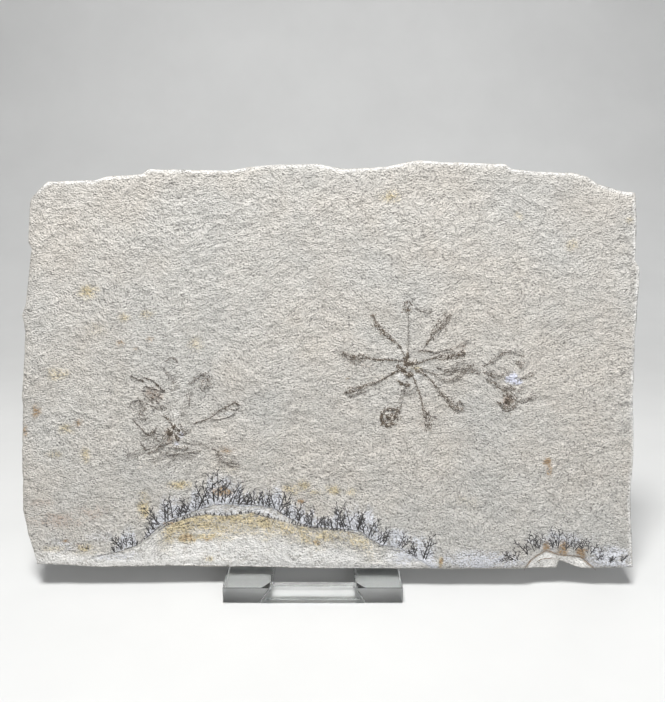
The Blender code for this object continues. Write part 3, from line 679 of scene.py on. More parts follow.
def limestone(stone):
    """Warm grey stone with streaky grain, painted shade and highlights on its bumps, stained where
    the vertices say so.

    A stain's strength times an uneven noise, from the lower to the upper of its
    edges, is its share of the colour, so that it breaks up along the grain.
    """
    n = Nodes("limestone")
    upright, streaks = plate_coordinates(n, (1.0, 1.0, 1.22))
    fine = n.noise(streaks, 1330.0, 1.5, 0.6)
    grit = n.noise(upright, 2600.0, 1.0, 0.5)
    swell = n.noise(streaks, 270.0, 3.0, 0.6)
    patches = n.ramp(n.noise(upright, 28.0, 3.0, 0.55), ((0.38, 0.0), (0.62, 1.0)))
    clouds = n.ramp(n.noise(upright, 90.0, 3.0, 0.6), ((0.3, 0.0), (0.75, 0.55)))
    colour = n.mix(clouds, n.mix(patches, stone.warm, stone.cool), stone.pale)

    mottle = n.span(n.noise(streaks, 210.0, 3.0, 0.6), 0.36, 0.62)
    uneven = n.plus(n.times(n.span(fine, 0.36, 0.64), 1.05), n.times(mottle, 0.85))
    uneven = n.plus(uneven, 0.1)
    for name, (low, high) in STAIN_EDGES.items():
        share = n.span(n.times(n.read(name), uneven), low, high, curve="SMOOTHSTEP")
        colour = n.mix(share, colour, getattr(stone, name))

    flecks = n.ramp(n.noise(streaks, 950.0, 2.0, 0.7), ((0.37, 0.16), (0.455, 0.95), (0.6, 1.22)))
    stained = n.plus(n.read("ochre"), n.times(n.read("slate"), 0.3), clamp=True)
    colour = n.shade(colour, flecks, stained)
    # painted shade and highlight: the fine noise that makes the bump's pits also darkens them and
    # lightens its crests, over the grain's own tone
    grain_tone_and_relief_shading = n.ramp(fine, ((0.27, 0.40), (0.45, 0.97), (0.72, 1.17)))
    colour = n.shade(colour, grain_tone_and_relief_shading, n.without("chalk_and_highlight", 0.5))
    # painted shade: the swell, the largest part of the bump, also darkens its hollows and faintly
    # lightens its crests
    colour = n.shade(colour, n.ramp(swell, ((0.30, 0.87), (0.54, 1.0), (0.75, 1.05))))
    layers = n.noise(n.stretch(upright, (0.06, 1.0, 0.06)), 900.0, 2.0, 0.6)
    colour = n.shade(colour, n.ramp(layers, ((0.35, 0.80), (0.65, 1.06))), n.read("broken"))

    height = n.plus(n.plus(fine, n.times(grit, 0.55)), n.times(swell, 2.4))
    even = n.times(n.without("fresh", 0.6), n.without("chalk_and_highlight", 0.3))
    deep = stone.pits * MM
    depth = n.span(n.along(upright, "Z"), 0.0, 0.15, 1.3 * deep, deep)
    return n.finish(Base_Color=colour, Roughness=0.88, Specular_IOR_Level=0.25,
                    Normal=n.bump(height, even, depth))


def fossil_calcite(fossil):
    """Dark brown-grey skeleton plates, each with its own shade."""
    n = Nodes("fossil_calcite")
    _, streaks = plate_coordinates(n, (1.0, 1.0, 1.0))
    fine = n.noise(streaks, 1400.0, 2.0, 0.6)
    tone = n.plus(n.read("tone"), n.around(fine, 0.5))
    colour = n.mix(n.span(tone, 0.05, 0.75), fossil.dark, fossil.light)
    colour = n.mix(n.span(tone, 0.75, 1.0), colour, fossil.pale)
    return n.finish(Base_Color=colour, Roughness=0.72, Specular_IOR_Level=0.35,
                    Normal=n.bump(fine, 0.6, 0.05 * MM))


def manganese(bush):
    """Blackish film, paler towards the finest twigs, and brown where its tone is over 1.3."""
    n = Nodes("manganese_film")
    tone = n.plus(n.read("tone"), n.around(n.noise(n.place(), 1100.0, 2.0, 0.6), 0.6))
    colour = n.mix(n.ramp(tone, ((0.1, 0.0), (0.9, 1.0))), bush.black, bush.grey)
    colour = n.mix(n.span(tone, 1.3, 1.7), colour, bush.iron)
    return n.finish(Base_Color=colour, Roughness=0.7, Specular_IOR_Level=0.3)


def clear_acrylic(stand):
    """Clear cast sheet: plain transmission, with faint smears, hair scratches and rough cement.

    The cement lies where X is SEAM_HALF from SEAM_MIDDLE, give or take a noise;
    the sawn edges are the faces that look forwards.
    """
    n = Nodes("clear_acrylic")
    place = n.place()
    smears = n.noise(place, 60.0, 4.0, 0.6)
    scratches = n.noise(n.stretch(place, (0.15, 1.0, 1.0)), 1500.0, 3.0, 0.7)
    normal = n.add("NewGeometry").outputs["True Normal"]
    sawn = n.math("LESS_THAN", n.along(normal, "Y"), -0.95)
    wander = n.around(n.noise(place, 140.0, 3.0, 0.6), 7 * MM)
    seam = n.math("ABSOLUTE", n.minus(n.along(place, "X"), SEAM_MIDDLE))
    seam = n.math("ABSOLUTE", n.plus(n.minus(seam, SEAM_HALF), wander))
    cement = n.span(seam, 0.7 * MM, 0.1 * MM)
    rough = n.span(smears, 0.45, 0.8, stand.roughness, stand.roughness + 0.10)
    rough = n.plus(rough, n.times(sawn, stand.sawn))
    rough = n.plus(rough, n.times(cement, 0.35), clamp=True)
    height = n.plus(scratches, n.times(cement, 3.0))
    return n.finish(Base_Color=(*stand.tint, 1), Roughness=rough, IOR=1.49,
                    Transmission_Weight=1.0, Normal=n.bump(height, 0.15, 0.05 * MM))


# ---- the stone ------------------------------------------------------------------------
FACE = {}                    # the bedding face's grid, for pieces that lie on it


def side_curve(side, share, by):
    """A side's outline at the given shares of its length, read by its u (0) or its v (1)."""
    pts = np.asarray(side, float)
    key = pts[:, by] + np.arange(len(pts)) * 1e-7
    want = key[0] + share * (key[-1] - key[0])
    other = np.interp(want, key, pts[:, 1 - by])
    return stacked(want, other) if by == 0 else stacked(other, want)


def round_the_edge(s, t):
    """The whole outline once round, counter-clockwise from the lower left corner."""
    foot, top = side_curve(FOOT, s, 0), side_curve(TOP, s, 0)
    right, left = side_curve(RIGHT, t, 1), side_curve(LEFT, t, 1)
    return np.concatenate([foot[:-1], right[:-1], top[:0:-1], left[:0:-1]])


def four_sides(ring, ns, nt):
    """Split a closed ring back into foot, right, top and left, corner to corner."""
    ring = np.concatenate([ring, ring[:1]])
    return (ring[:ns + 1], ring[ns:ns + nt + 1], ring[ns + nt:2 * ns + nt + 1][::-1],
            ring[2 * ns + nt:][::-1])


def grid_faces(ns, nt, first, turned):
    """Quads of a grid, wound to face the viewer, or the other way if turned."""
    i, j = np.meshgrid(np.arange(ns), np.arange(nt), indexing="ij")
    a = first + i * (nt + 1) + j
    quad = stacked(a, a + nt + 1, a + nt + 2, a + 1).reshape(-1, 4)
    return quad[:, ::-1] if turned else quad


def grid_rim(ns, nt, first):
    """Indices once round a grid's rim, in the same order as round_the_edge."""
    index = first + np.arange((ns + 1) * (nt + 1)).reshape(ns + 1, nt + 1)
    return np.concatenate([index[:-1, 0], index[-1, :-1], index[:0:-1, -1], index[0, :0:-1]])


def outward(ring):
    """Unit direction away from the plate at each point of a counter-clockwise ring."""
    run = np.roll(ring, -3, axis=0) - np.roll(ring, 3, axis=0)
    run /= np.linalg.norm(run, axis=1, keepdims=True)
    return stacked(run[:, 1], -run[:, 0])


def way_round(ring):
    """Distance of each point of a ring from its first, once round the outline."""
    return np.arange(len(ring)) * (AROUND / len(ring))


def edge_ring(outline, every, place, inset, reach, seed):
    """The outline at one depth: moved inwards by the inset, and out and in by fracture noise."""
    ring = outline[::every]
    far = way_round(ring)
    wobble = octaves(far / 5.0, place / 2.2, 3, seed)
    ledge = noise(far / 16.0, place / 0.9, seed + 7)
    return ring + outward(ring) * (reach * wobble + 0.35 * reach * ledge - inset)[:, None]


def front_grid(s, t, grain):
    """The outline with its fine jags, and the bedding face as a grid between the front arrises."""
    outline = round_the_edge(s, t)
    far = way_round(outline)
    jags = 0.5 - 0.11 * octaves(far / 3.0, 0.0, 3, 71)
    outline = outline + outward(outline) * jags[:, None]
    inset = ARRIS_IN + 0.22 * octaves(far / 6.0, 4.0, 3, 61)
    arris = outline - outward(outline) * inset[:, None]
    u, v = np.moveaxis(coons(*four_sides(arris, ACROSS, UP), s, t), -1, 0)
    rim_gap = np.minimum(np.minimum(s, 1 - s)[:, None] * WIDE, np.minimum(t, 1 - t)[None] * HIGH)
    return outline, u, v, FACE_W - face_height(u, v, grain) + 0.5 * np.exp(-rim_gap / 0.9)


def strip(inner, outer):
    """Triangles between two rings, one of which may have three facets to the other's one."""
    nxt = np.roll(outer, -1)
    if len(inner) == len(outer):
        back = np.roll(inner, -1)
        return [(inner, outer, nxt), (inner, nxt, back)]
    a, b, c, d = inner[::3], inner[1::3], inner[2::3], np.roll(inner[::3], -1)
    return [(a, outer, b), (b, outer, c), (c, outer, nxt), (c, nxt, d)]


def stone_mesh(stone):
    """The plate as one closed surface: points, triangles, and 1 at each point of its edge and back.

    A fine grid between the four front arrises, two fine rings round the edge, a
    strip where every three facets meet one, coarse rings, and a coarse back.
    """
    s, t = spaced(ACROSS, ACROSS_DENSE), spaced(UP, UP_DENSE)
    outline, u, v, w = front_grid(s, t, stone.grain)
    FACE.update(u=u, v=v, w=w)
    points = [stacked(u, v, w).reshape(-1, 3)]
    front = grid_rim(ACROSS, UP, 0)
    loops = [front]
    first = face_points = u.size
    for every, depth, place, inset, reach, seed in EDGE_RINGS:
        ring = edge_ring(outline, every, place, inset, reach, seed)
        share = depth / THICK
        level = depth + 0.3 * octaves(np.arange(len(ring)) * every / 9.0, depth, 2, 95)
        level = np.maximum(level, w.ravel()[front][::every] * (1 - share) + depth * share)
        points.append(np.column_stack([ring, level]))
        loops.append(first + np.arange(len(ring)))
        first += len(ring)
    every, _, place, inset, reach, seed = BACK_RIM
    rim = edge_ring(outline, every, place, inset, reach, seed)
    cells = ACROSS // COARSE, UP // COARSE
    u, v = np.moveaxis(coons(*four_sides(rim, *cells), s[::COARSE], t[::COARSE]), -1, 0)
    w = THICK - 0.25 + 0.22 * octaves(u / 9.0, v / 6.0, 3, 91)
    points.append(stacked(u, v, w).reshape(-1, 3))
    loops.append(grid_rim(*cells, first))
    quads = np.concatenate([grid_faces(ACROSS, UP, 0, False), grid_faces(*cells, first, True)])
    tris = [quads[:, [0, 1, 2]], quads[:, [0, 2, 3]]]
    for inner, outer in zip(loops[:-1], loops[1:]):
        tris += [stacked(*tri) for tri in strip(inner, outer)]
    points = np.concatenate(points)
    return points, np.concatenate(tris), (np.arange(len(points)) >= face_points) * 1.0


# ---- stains ------------------------------------------------------------------------------
def arm_shadow(u, v, arm, bold):
    """Dark ground under one arm: exp(-d^2) of the distance from its route, wider at its end."""
    half = arm.half * smooth(route_share(u, v, arm.route), arm.feather - 0.1, arm.feather + 0.25)
    keep = arm.stem + (1 - arm.stem) * np.minimum(half / arm.half, 1.0)
    near = np.exp(-(near_line(u, v, arm.route) / (0.45 + 0.75 * half)) ** 2)
    uneven = 0.7 + 1.2 * octaves(u / 1.5, v / 1.1, 2, 57)
    return min(0.72 * bold * arm.dark, 1.1) * keep * near * uneven


def umber_stain(u, v):
    """Dark ground of the arms and cups."""
    umber = np.zeros(np.shape(u))
    for name, arms in CRINOIDS.items():
        for arm in arms:
            umber = np.maximum(umber, arm_shadow(u, v, arm, STRENGTH[name]))
        marks = [(*mark, STRENGTH[name]) for mark in CUP_MARKS[name]]
        umber = np.maximum(umber, spots(u, v, marks, 0.3))
    return umber


def slate_stain(u, v, scar_in, under):
    """Bluish ground: behind the bushes, fading with their height, and in the rim's band."""
    tall = np.interp(u, *np.transpose(BUSH_HEIGHT))
    over = np.maximum(-scar_in, 0.0)
    behind = (tall > 1) * np.exp(-(over / np.maximum(0.75 * tall, 1.0)) ** 2)
    behind = np.where((scar_in < 0) & (u > -96) & (u < 44), behind, 0.0)
    band = smooth(scar_in, 0.0, 0.6) * (1.0 - smooth(under, -0.4, 0.2))
    band *= smooth(u, -70, -62) * (1.0 - smooth(u, 4, 12))
    return strongest(behind, spots(u, v, SLATE), 0.35 * band)


def stain_maps(u, v):
    """Strength of each stain over the plate, and of a painted highlight along the top and right
    arrises, all from listed lines and spots.
    """
    under = below_line(u, v, YELLOW_LINE)
    scar_in = below_line(u, v, SCAR_RIM)
    uneven = 0.5 + 0.5 * octaves(u / 9.0, v / 5.0, 3, 31)
    chip = smooth(below_line(u, v, CHIP_RIM), 0.0, 0.5)
    # the ochre fringe under the yellow line, weaker to the right and broken by noise
    fringe = smooth(under, -0.5, 0.4) * (1.0 - smooth(under, 2.0, 8.0 + 10.0 * uneven))
    fringe *= np.interp(u, (-72, -64, -50, -30, 0, 14, 20, 26),
                        (0.0, 0.85, 0.8, 0.7, 0.5, 0.4, 0.25, 0.0))
    fringe *= 0.45 + 1.1 * (0.5 + 0.5 * octaves(u / 4.5, v / 2.2, 2, 33))
    left_toe = np.exp(-((v - 6.5) / 2.2) ** 2) * smooth(u, -118, -100) * (1 - smooth(u, -84, -76))
    ochre = strongest(np.minimum(1.5 * spots(u, v, OCHRE), 1.0), 0.95 * fringe, 0.25 * left_toe,
                      0.8 * spots(u, v, HONEY_SPOTS))
    # fresh pale stone: deep in the scar, along the foot and in the chip; and a painted highlight
    # along the top and right arrises
    deep = strongest(smooth(scar_in, 4.0, 11.0), 0.55 * smooth(scar_in, 0.3, 1.5))
    toe = (1.0 - smooth(v, 3.0, 8.0 + 3.0 * uneven)) * (1.0 - smooth(u, 34.0, 46.0))
    chalk_and_highlight = strongest(strongest(deep, toe) * (0.75 + 0.25 * uneven), 0.5 * chip)
    chalk_and_highlight = strongest(chalk_and_highlight, spots(u, v, PALE_SPOTS)) * (1.0 - 0.6 * fringe)
    # painted highlight: the face is made paler along its top and right edges, where the light
    # catches the arris
    arris = np.minimum(near_line(u, v, RIGHT), near_line(u, v, TOP))
    chalk_and_highlight = strongest(chalk_and_highlight, 0.7 * np.exp(-(arris / 1.1) ** 2))
    slate = slate_stain(u, v, scar_in, under) * (1.0 - np.clip(1.2 * fringe + chip, 0.0, 1.0))
    rust = strongest(np.minimum(1.8 * spots(u, v, RUST), 1.05),
                     spots(u, v, CHIP_FLAMES, 0.5) * (1.0 - chip),
                     0.5 * np.exp(-(near_line(u, v, CHIP_RIM) / 0.6) ** 2))
    umber = umber_stain(u, v) * (1.0 - 0.9 * spots(u, v, PALE_SPOTS[:3]))
    return {"ochre": ochre, "chalk_and_highlight": chalk_and_highlight, "slate": slate, "rust": rust,
            "blush": spots(u, v, BLUSH), "umber": umber,
            "crystal": spots(u, v, CRYSTAL, 0.5), "fresh": chip}


# ---- pieces that lie on the face ----------------------------------------------------------
def grid_read(values, a, b):
    """Bilinear reading of a grid at fractional indices."""
    i = np.clip(np.floor(a).astype(int), 0, values.shape[0] - 2)
    j = np.clip(np.floor(b).astype(int), 0, values.shape[1] - 2)
    x, y = a - i, b - j
    return (values[i, j] * (1 - x) * (1 - y) + values[i + 1, j] * x * (1 - y)
            + values[i, j + 1] * (1 - x) * y + values[i + 1, j + 1] * x * y)


def face_level(u, v):
    """Depth w of the modelled face under (u, v): its grid cell is found by a few corrections."""
    ug, vg = FACE["u"], FACE["v"]
    mid_u, mid_v = ug[:, ug.shape[1] // 3], vg[vg.shape[0] // 2]
    a = np.interp(u, mid_u, np.arange(len(mid_u)))
    b = np.interp(v, mid_v, np.arange(len(mid_v)))
    step_u, step_v = np.gradient(mid_u), np.gradient(mid_v)
    for _ in range(5):
        a = a + (u - grid_read(ug, a, b)) / np.interp(a, np.arange(len(step_u)), step_u)
        b = b + (v - grid_read(vg, a, b)) / np.interp(b, np.arange(len(step_v)), step_v)
        a = np.clip(a, 0, ug.shape[0] - 1.001)
        b = np.clip(b, 0, ug.shape[1] - 1.001)
    return grid_read(FACE["w"], a, b)


def threads(paths, half, rise, sink, tone):
    """Low three-sided ridges along many paths at once, each closed by a point at its ends.

    paths is (count, points, 2) and half (count, points): each section is left,
    crest and right, with the crest lifted by rise and the sides sunk by sink.
    """
    count, points, _ = paths.shape
    side = path_frame(paths)[1] * half[..., None]
    ring = np.stack([paths + side, paths, paths - side], axis=2)
    level = face_level(ring[..., 0], ring[..., 1])
    level[..., 1] -= rise
    level[..., [0, 2]] += sink
    level[:, [0, -1]] += (rise + sink) * 0.5
    flat = np.concatenate([ring, level[..., None]], axis=-1).reshape(-1, 3)
    base = ((np.arange(count)[:, None] * points + np.arange(points - 1)) * 3).ravel()
    tris = []
    for k, m in ((0, 1), (1, 2), (2, 0)):
        tris += [stacked(base + k, base + m, base + 3 + m),
                 stacked(base + k, base + 3 + m, base + 3 + k)]
    start = np.arange(count) * points * 3
    end = start + (points - 1) * 3
    tris += [stacked(start, start + 2, start + 1), stacked(end, end + 1, end + 2)]
    return flat, np.concatenate(tris), np.repeat(tone, points * 3)


def plates(places, along, across, turn, tall, tone, rng):
    """Small domed skeleton plates: a sunk rim of six, a raised ring, a top and an underside."""
    angle = np.arange(6) * (math.pi / 3)
    radius = rng.uniform(0.8, 1.2, (len(places), 6))
    x = np.cos(angle) * radius * along[:, None]
    y = np.sin(angle) * radius * across[:, None]
    c, s = np.cos(turn)[:, None], np.sin(turn)[:, None]
    ring = stacked(x * c - y * s, x * s + y * c)
    middle = places[:, None]
    pts = np.concatenate([middle + ring, middle + 0.62 * ring, middle, middle], axis=1)
    level = np.repeat(face_level(*places.T)[:, None], PLATE_POINTS, axis=1)
    level[:, :6] = face_level(pts[:, :6, 0], pts[:, :6, 1]) + 0.05
    level[:, 6:12] -= 0.75 * tall[:, None]
    level[:, 12] -= tall
    level[:, 13] += 0.08
    flat = np.concatenate([pts, level[..., None]], axis=-1).reshape(-1, 3)
    base = np.arange(len(places))[:, None] * PLATE_POINTS
    k = np.arange(6)
    m = (k + 1) % 6
    top, foot = base + 12 + 0 * k, base + 13 + 0 * k
    tris = [stacked(*tri).reshape(-1, 3) for tri in (
        (base + k, base + m, base + 6 + m), (base + k, base + 6 + m, base + 6 + k),
        (base + 6 + k, base + 6 + m, top), (base + m, base + k, foot))]
    return flat, np.concatenate(tris), np.repeat(tone, PLATE_POINTS)


def joined(parts):
    """Several (points, triangles, tones) as one."""
    flats, tris, tones = zip(*parts)
    first = np.cumsum([0] + [len(flat) for flat in flats[:-1]])
    tris = [tri + start for tri, start in zip(tris, first)]
    return np.concatenate(flats), np.concatenate(tris), np.concatenate(tones)


def along_route(route, count):
    """Points at even shares of a route's length, its corners rounded by a cubic through them."""
    gap = distances(route)
    slope = np.gradient(route, gap, axis=0) if len(route) > 2 else np.repeat(
        (route[1:] - route[:1]) / gap[-1], 2, axis=0)
    want = np.linspace(0.0, gap[-1], count)
    k = np.clip(np.searchsorted(gap, want, side="right") - 1, 0, len(gap) - 2)
    size = (gap[k + 1] - gap[k])[:, None]
    x = (want - gap[k])[:, None] / size
    return ((2 * x ** 3 - 3 * x ** 2 + 1) * route[k] + (x ** 3 - 2 * x ** 2 + x) * size * slope[k]
            + (3 * x ** 2 - 2 * x ** 3) * route[k + 1] + (x ** 3 - x ** 2) * size * slope[k + 1])


def arm_parts(arm, number, bold, fossil, seed, rng):
    """One arm: dark threads that wander in lanes across it, and small plates set along them.

    Each lane's offset is its place times the arm's half width there, plus noise;
    a thread is thin wherever a second noise is low.
    """
    length = run_lengths(arm.route).sum()
    count = max(12, int(length / 0.4))
    line = along_route(arm.route, count)
    share = np.linspace(0.0, 1.0, count)
    far = share * length
    run, side = path_frame(line)
    open_out = smooth(share, arm.feather - 0.08, arm.feather + 0.25)
    open_out *= 1 - 0.4 * smooth(share, 0.92, 1.0)
    strong = bold * arm.dark * (arm.stem + (1 - arm.stem) * np.minimum(open_out * 1.5, 1.0))
    jag = octaves(far / 0.6, LANES * 9, 2, seed + number)
    drift = octaves(far / 3.0, LANES * 5, 1, seed + 90 + number)
    sway = (LANES + 0.6 * drift) * (arm.half * open_out + 0.16) + 0.42 * jag
    row = np.arange(len(LANES))[:, None]
    thick = 0.6 + 0.9 * np.abs(octaves(far / 0.9, row * 5.0 + number, 2, seed + 40))
    thick = fossil.thread * thick * (1.0 - 0.75 * smooth(share, 0.9, 1.0)) * np.sqrt(strong)
    gaps = noise(far / 0.9, row * 3.0, seed + 60 + number)
    thick[gaps < 1.0 - 0.95 * np.minimum(strong, 1.2)] *= 0.12
    strands = line + side * sway[..., None]
    tone = 0.4 * rng.rand(len(LANES))
    lines = threads(strands, thick, THREAD_RISE, THREAD_SINK, tone)

    many = int(length * (3.5 + 6.5 * arm.half) * min(bold * arm.dark + 0.2, 1.5))
    place = rng.rand(many) ** 0.85
    spread = np.interp(place, share, open_out) * arm.half
    offset = rng.normal(0.0, 0.62, many) * (spread + 0.5)
    k = np.minimum((place * (count - 1)).astype(int), count - 1)
    where = line[k] + side[k] * offset[:, None] + rng.normal(0, 0.15, (many, 2))
    size = fossil.plate * rng.uniform(0.3, 1.3, many) * np.sqrt(strong[k])
    turn = np.arctan2(run[k, 1], run[k, 0]) + rng.normal(0, 0.7, many)
    tall = 0.13 * rng.uniform(0.5, 1.5, many)
    tone = np.where(rng.rand(many) < 0.22, 1.0, 0.6 * rng.rand(many))
    return [lines, plates(where, size * 1.3, size * 0.85, turn, tall, tone, rng)]


def cup_parts(mark, fossil, rng):
    """Dark plates crowded round one mark on a cup."""
    cu, cv, ru, rv = mark
    many = int(26 * ru * rv) + 6
    where = np.array([cu, cv]) + rng.normal(0, 0.42, (many, 2)) * (ru, rv)
    size = fossil.plate * rng.uniform(0.6, 1.6, many)
    turn = rng.uniform(0, 3.1, many)
    tall = 0.16 * rng.uniform(0.5, 1.4, many)
    return [plates(where, size * 1.2, size, turn, tall, 0.35 * rng.rand(many), rng)]


def crinoid_parts(name, fossil, seed):
    """Every arm of a crinoid, and the dark plates of its cup."""
    rng = np.random.RandomState(seed)
    parts = []
    for number, arm in enumerate(CRINOIDS[name]):
        parts += arm_parts(arm, number, STRENGTH[name], fossil, seed, rng)
    for mark in CUP_MARKS[name]:
        parts += cup_parts(mark, fossil, rng)
    return joined(parts)


def branch(base, heading, length, bend, points):
    """Paths from base points, each turning steadily by bend over its length, and their headings."""
    t = np.linspace(0.0, 1.0, points)
    angle = heading[:, None] + bend[:, None] * t
    step = length[:, None] / (points - 1)
    move = stacked(np.cos(angle), np.sin(angle)) * step[..., None]
    start = np.zeros((len(base), 1, 2))
    return base[:, None] + np.concatenate([start, np.cumsum(move[:, :-1], axis=1)], axis=1), angle


def growths(count, each, low, high):
    """Side growths, each so many on every parent: parent, even share of its length, and hand."""
    owner = np.repeat(np.arange(count), each)
    share = np.tile(np.linspace(low, high, each), count)
    return owner, share, np.tile(np.resize([1.0, -1.0], each), count)


def forks(paths, angle, owner, share):
    """Places at a share of the length of their parent paths, and the parents' headings there."""
    stations = paths.shape[1] - 1
    k = np.clip(share * stations, 0, stations - 0.001)
    i = k.astype(int)
    place = paths[owner, i] + (paths[owner, i + 1] - paths[owner, i]) * (k - i)[:, None]
    return place, angle[owner, i]


def ribbons(paths, half, taper, rise, tone):
    """Threads of film along branches, their half width tapered evenly from root to tip."""
    half = half[:, None] * np.linspace(*taper, paths.shape[1])
    return threads(paths, half, rise, FILM_SINK, tone)


def bushes(base, heading, tall, thick, rng):
    """Ferny bushes: stems, side branches from both sides of each, and twigs on the longer ones.

    A side branch is shorter the higher it leaves its stem, and bends back along it.
    """
    count = len(base)
    stems, angle = branch(base, heading, tall, rng.normal(0, 0.25, count), 9)
    half = thick * (0.9 + 0.6 * rng.rand(count))
    parts = [ribbons(stems, half, (1.0, 0.5), STEM_RISE, 0.35 * rng.rand(count))]

    owner, share, hand = growths(count, SIDES, 0.15, 0.96)
    count = len(owner)
    share = share + rng.normal(0, 0.03, count)
    start, along = forks(stems, angle, owner, share)
    lean = hand * rng.uniform(0.55, 1.1, count)
    reach = tall[owner] * (0.31 * (1.0 - share) + 0.13) * rng.uniform(0.6, 1.3, count)
    sides, angle = branch(start, along + lean, reach, -0.5 * lean, 5)
    half = thick * rng.uniform(0.6, 1.2, count)
    parts.append(ribbons(sides, half, (0.8, 1.0), SIDE_RISE, 0.1 + 0.45 * rng.rand(count)))

    owner, share, hand = growths(count, TWIGS, 0.3, 0.95)
    start, along = forks(sides, angle, owner, share)
    turned = along + hand * rng.uniform(0.5, 1.0, len(owner))
    length = np.clip(reach[owner] * rng.uniform(0.25, 0.5, len(owner)), 0.3, 1.1)
    keep = reach[owner] > 0.7
    count = keep.sum()
    twigs, _ = branch(start[keep], turned[keep], length[keep], rng.normal(0, 0.4, count), 3)
    half = 0.85 * thick * rng.uniform(0.5, 1.2, count)
    parts.append(ribbons(twigs, half, (0.9, 1.0), TWIG_RISE, 0.2 + 0.6 * rng.rand(count)))
    return parts


def rim_points(line, gap, rng):
    """Places spaced along a line, a little uneven, and the headings that rise from it."""
    line = np.asarray(line, float)
    far = distances(line)
    jitter = rng.uniform(-0.45, 0.45, int(np.ceil(far[-1] / gap))) * gap
    want = np.clip(np.arange(0.0, far[-1], gap) + jitter, 0.0, far[-1] - 1e-3)
    place, ahead = (stacked(*(np.interp(at, far, column) for column in line.T))
                    for at in (want, want + 1))
    run = ahead - place
    heading = np.arctan2(run[:, 0], -run[:, 1])
    return place, np.where(np.sin(heading) < 0, heading + math.pi, heading)


def rim_bushes(bush, rng):
    """Tall bushes along the scar's rim, leaning outwards on the flanks of each clump."""
    base, heading = rim_points(SCAR_RIM[1:-1], bush.gap, rng)
    shape = np.transpose(BUSH_HEIGHT)
    tall = np.interp(base[:, 0], *shape) * rng.uniform(0.6, 1.1, len(base))
    flank = np.interp(base[:, 0] + 1.5, *shape) - np.interp(base[:, 0] - 1.5, *shape)
    heading = 0.4 * heading + 0.6 * math.pi / 2 + np.clip(0.12 * flank, -0.5, 0.5)
    heading += rng.normal(0, 0.12, len(base))
    keep = tall > 0.8
    return bushes(base[keep], heading[keep], tall[keep], bush.thick, rng)


def yellow_line_tufts(bush, rng):
    """Short tufts along the yellow line."""
    base, heading = rim_points(YELLOW_LINE[1:-3], 1.2, rng)
    tall = rng.uniform(0.4, 1.7, len(base))
    return bushes(base, heading + rng.normal(0, 0.3, len(base)), tall, 0.7 * bush.thick, rng)


def chip_bushes(bush, rng):
    """Two bushes at each place round the chip, leaning apart."""
    fans = np.repeat(np.asarray(CHIP_FANS, float), 2, axis=0)
    apart = np.tile(np.radians([-17.0, 17.0]), len(CHIP_FANS))
    heading = np.radians(fans[:, 2]) + apart + rng.normal(0, 0.1, len(fans))
    tall = fans[:, 3] * rng.uniform(0.7, 1.0, len(fans))
    base = fans[:, :2] + rng.normal(0, 0.5, (len(fans), 2))
    return bushes(base, heading, tall, 0.8 * bush.thick, rng)


def hairlines(line, half, tone, sway, rng):
    """Two wandering threads along a boundary, their width fading in and out by noise."""
    line = np.asarray(line, float)
    length = run_lengths(line).sum()
    count = int(length / 0.35)
    path = along_route(line, count)
    far = np.linspace(0.0, length, count)
    row = np.arange(2)[:, None]
    off = sway * octaves(far / 1.8, row * 7.0, 3, 301)
    thick = half * np.clip(0.15 + 1.2 * octaves(far / 4.0, row * 3.0, 2, 302), 0.08, 1.3)
    path = path + path_frame(path)[1] * off[..., None]
    return [threads(path, thick, SIDE_RISE, FILM_SINK, tone + rng.rand(2))]


# ---- settings --------------------------------------------------------------------------------
def number(name, text, default, low, high, **kind):
    return FloatProperty(name=name, description=text, default=default, min=low, max=high, **kind)


def colour(name, text, default):
    return FloatVectorProperty(name=name, description=text, default=default, subtype="COLOR",
                               min=0.0, max=1.0)


class StoneSettings(bpy.types.PropertyGroup):
    grain: number("Grain height", "Height of the streaky grain, in mm", 0.215, 0.0, 0.5)
    pits: number("Pit depth", "Depth of the finest pits, in mm", 1.45, 0.0, 3.0)
    warm: colour("Warm stone", "Warmer patches of the face", (0.65, 0.605, 0.545))
    cool: colour("Cool stone", "Greyer patches of the face", (0.615, 0.596, 0.558))
    pale: colour("Pale stone", "Lighter clouds", (0.735, 0.705, 0.655))
    # also the colour of the painted highlight along the top and right arrises
    chalk_and_highlight: colour("Chalk", "Fresh stone in the flake scars", (0.83, 0.81, 0.773))
    slate: colour("Slate", "Bluish ground behind the bushes", (0.735, 0.74, 0.775))
    ochre: colour("Ochre", "Yellow iron stain", (0.66, 0.56, 0.365))
    rust: colour("Rust", "Orange iron stain", (0.42, 0.295, 0.18))
    blush: colour("Blush", "Pinkish brown ground of the fossils", (0.50, 0.40, 0.33))
    umber: colour("Umber", "Dark ground of the arms", (0.13, 0.10, 0.075))
    crystal: colour("Crystal", "Bluish white calcite", (0.78, 0.79, 0.90))


class FossilSettings(bpy.types.PropertyGroup):
    thread: number("Thread width", "Half width of an arm's threads, in mm", 0.23, 0.02, 1.0)
    plate: number("Plate size", "Half length of one skeleton plate, in mm", 0.27, 0.02, 1.0)
    dark: colour("Dark plates", "Darkest skeleton plates", (0.048, 0.036, 0.026))
    light: colour("Light plates", "Lighter skeleton plates", (0.27, 0.225, 0.175))
    pale: colour("Pale plates", "Plates that are bare calcite", (0.60, 0.56, 0.50))


class DendriteSettings(bpy.types.PropertyGroup):
    gap: number("Bush spacing", "Distance between stems, in mm", 1.55, 0.3, 5.0)
    thick: number("Stem width", "Half width of a stem, in mm", 0.3, 0.02, 1.0)
    seed: IntProperty(name="Seed", description="Start of the random growth", default=12)
    black: colour("Manganese", "Thick film", (0.032, 0.030, 0.029))
    grey: colour("Thin film", "Finest twigs", (0.112, 0.108, 0.108))
    iron: colour("Iron line", "Brown lines along the chip's ledges", (0.20, 0.125, 0.07))


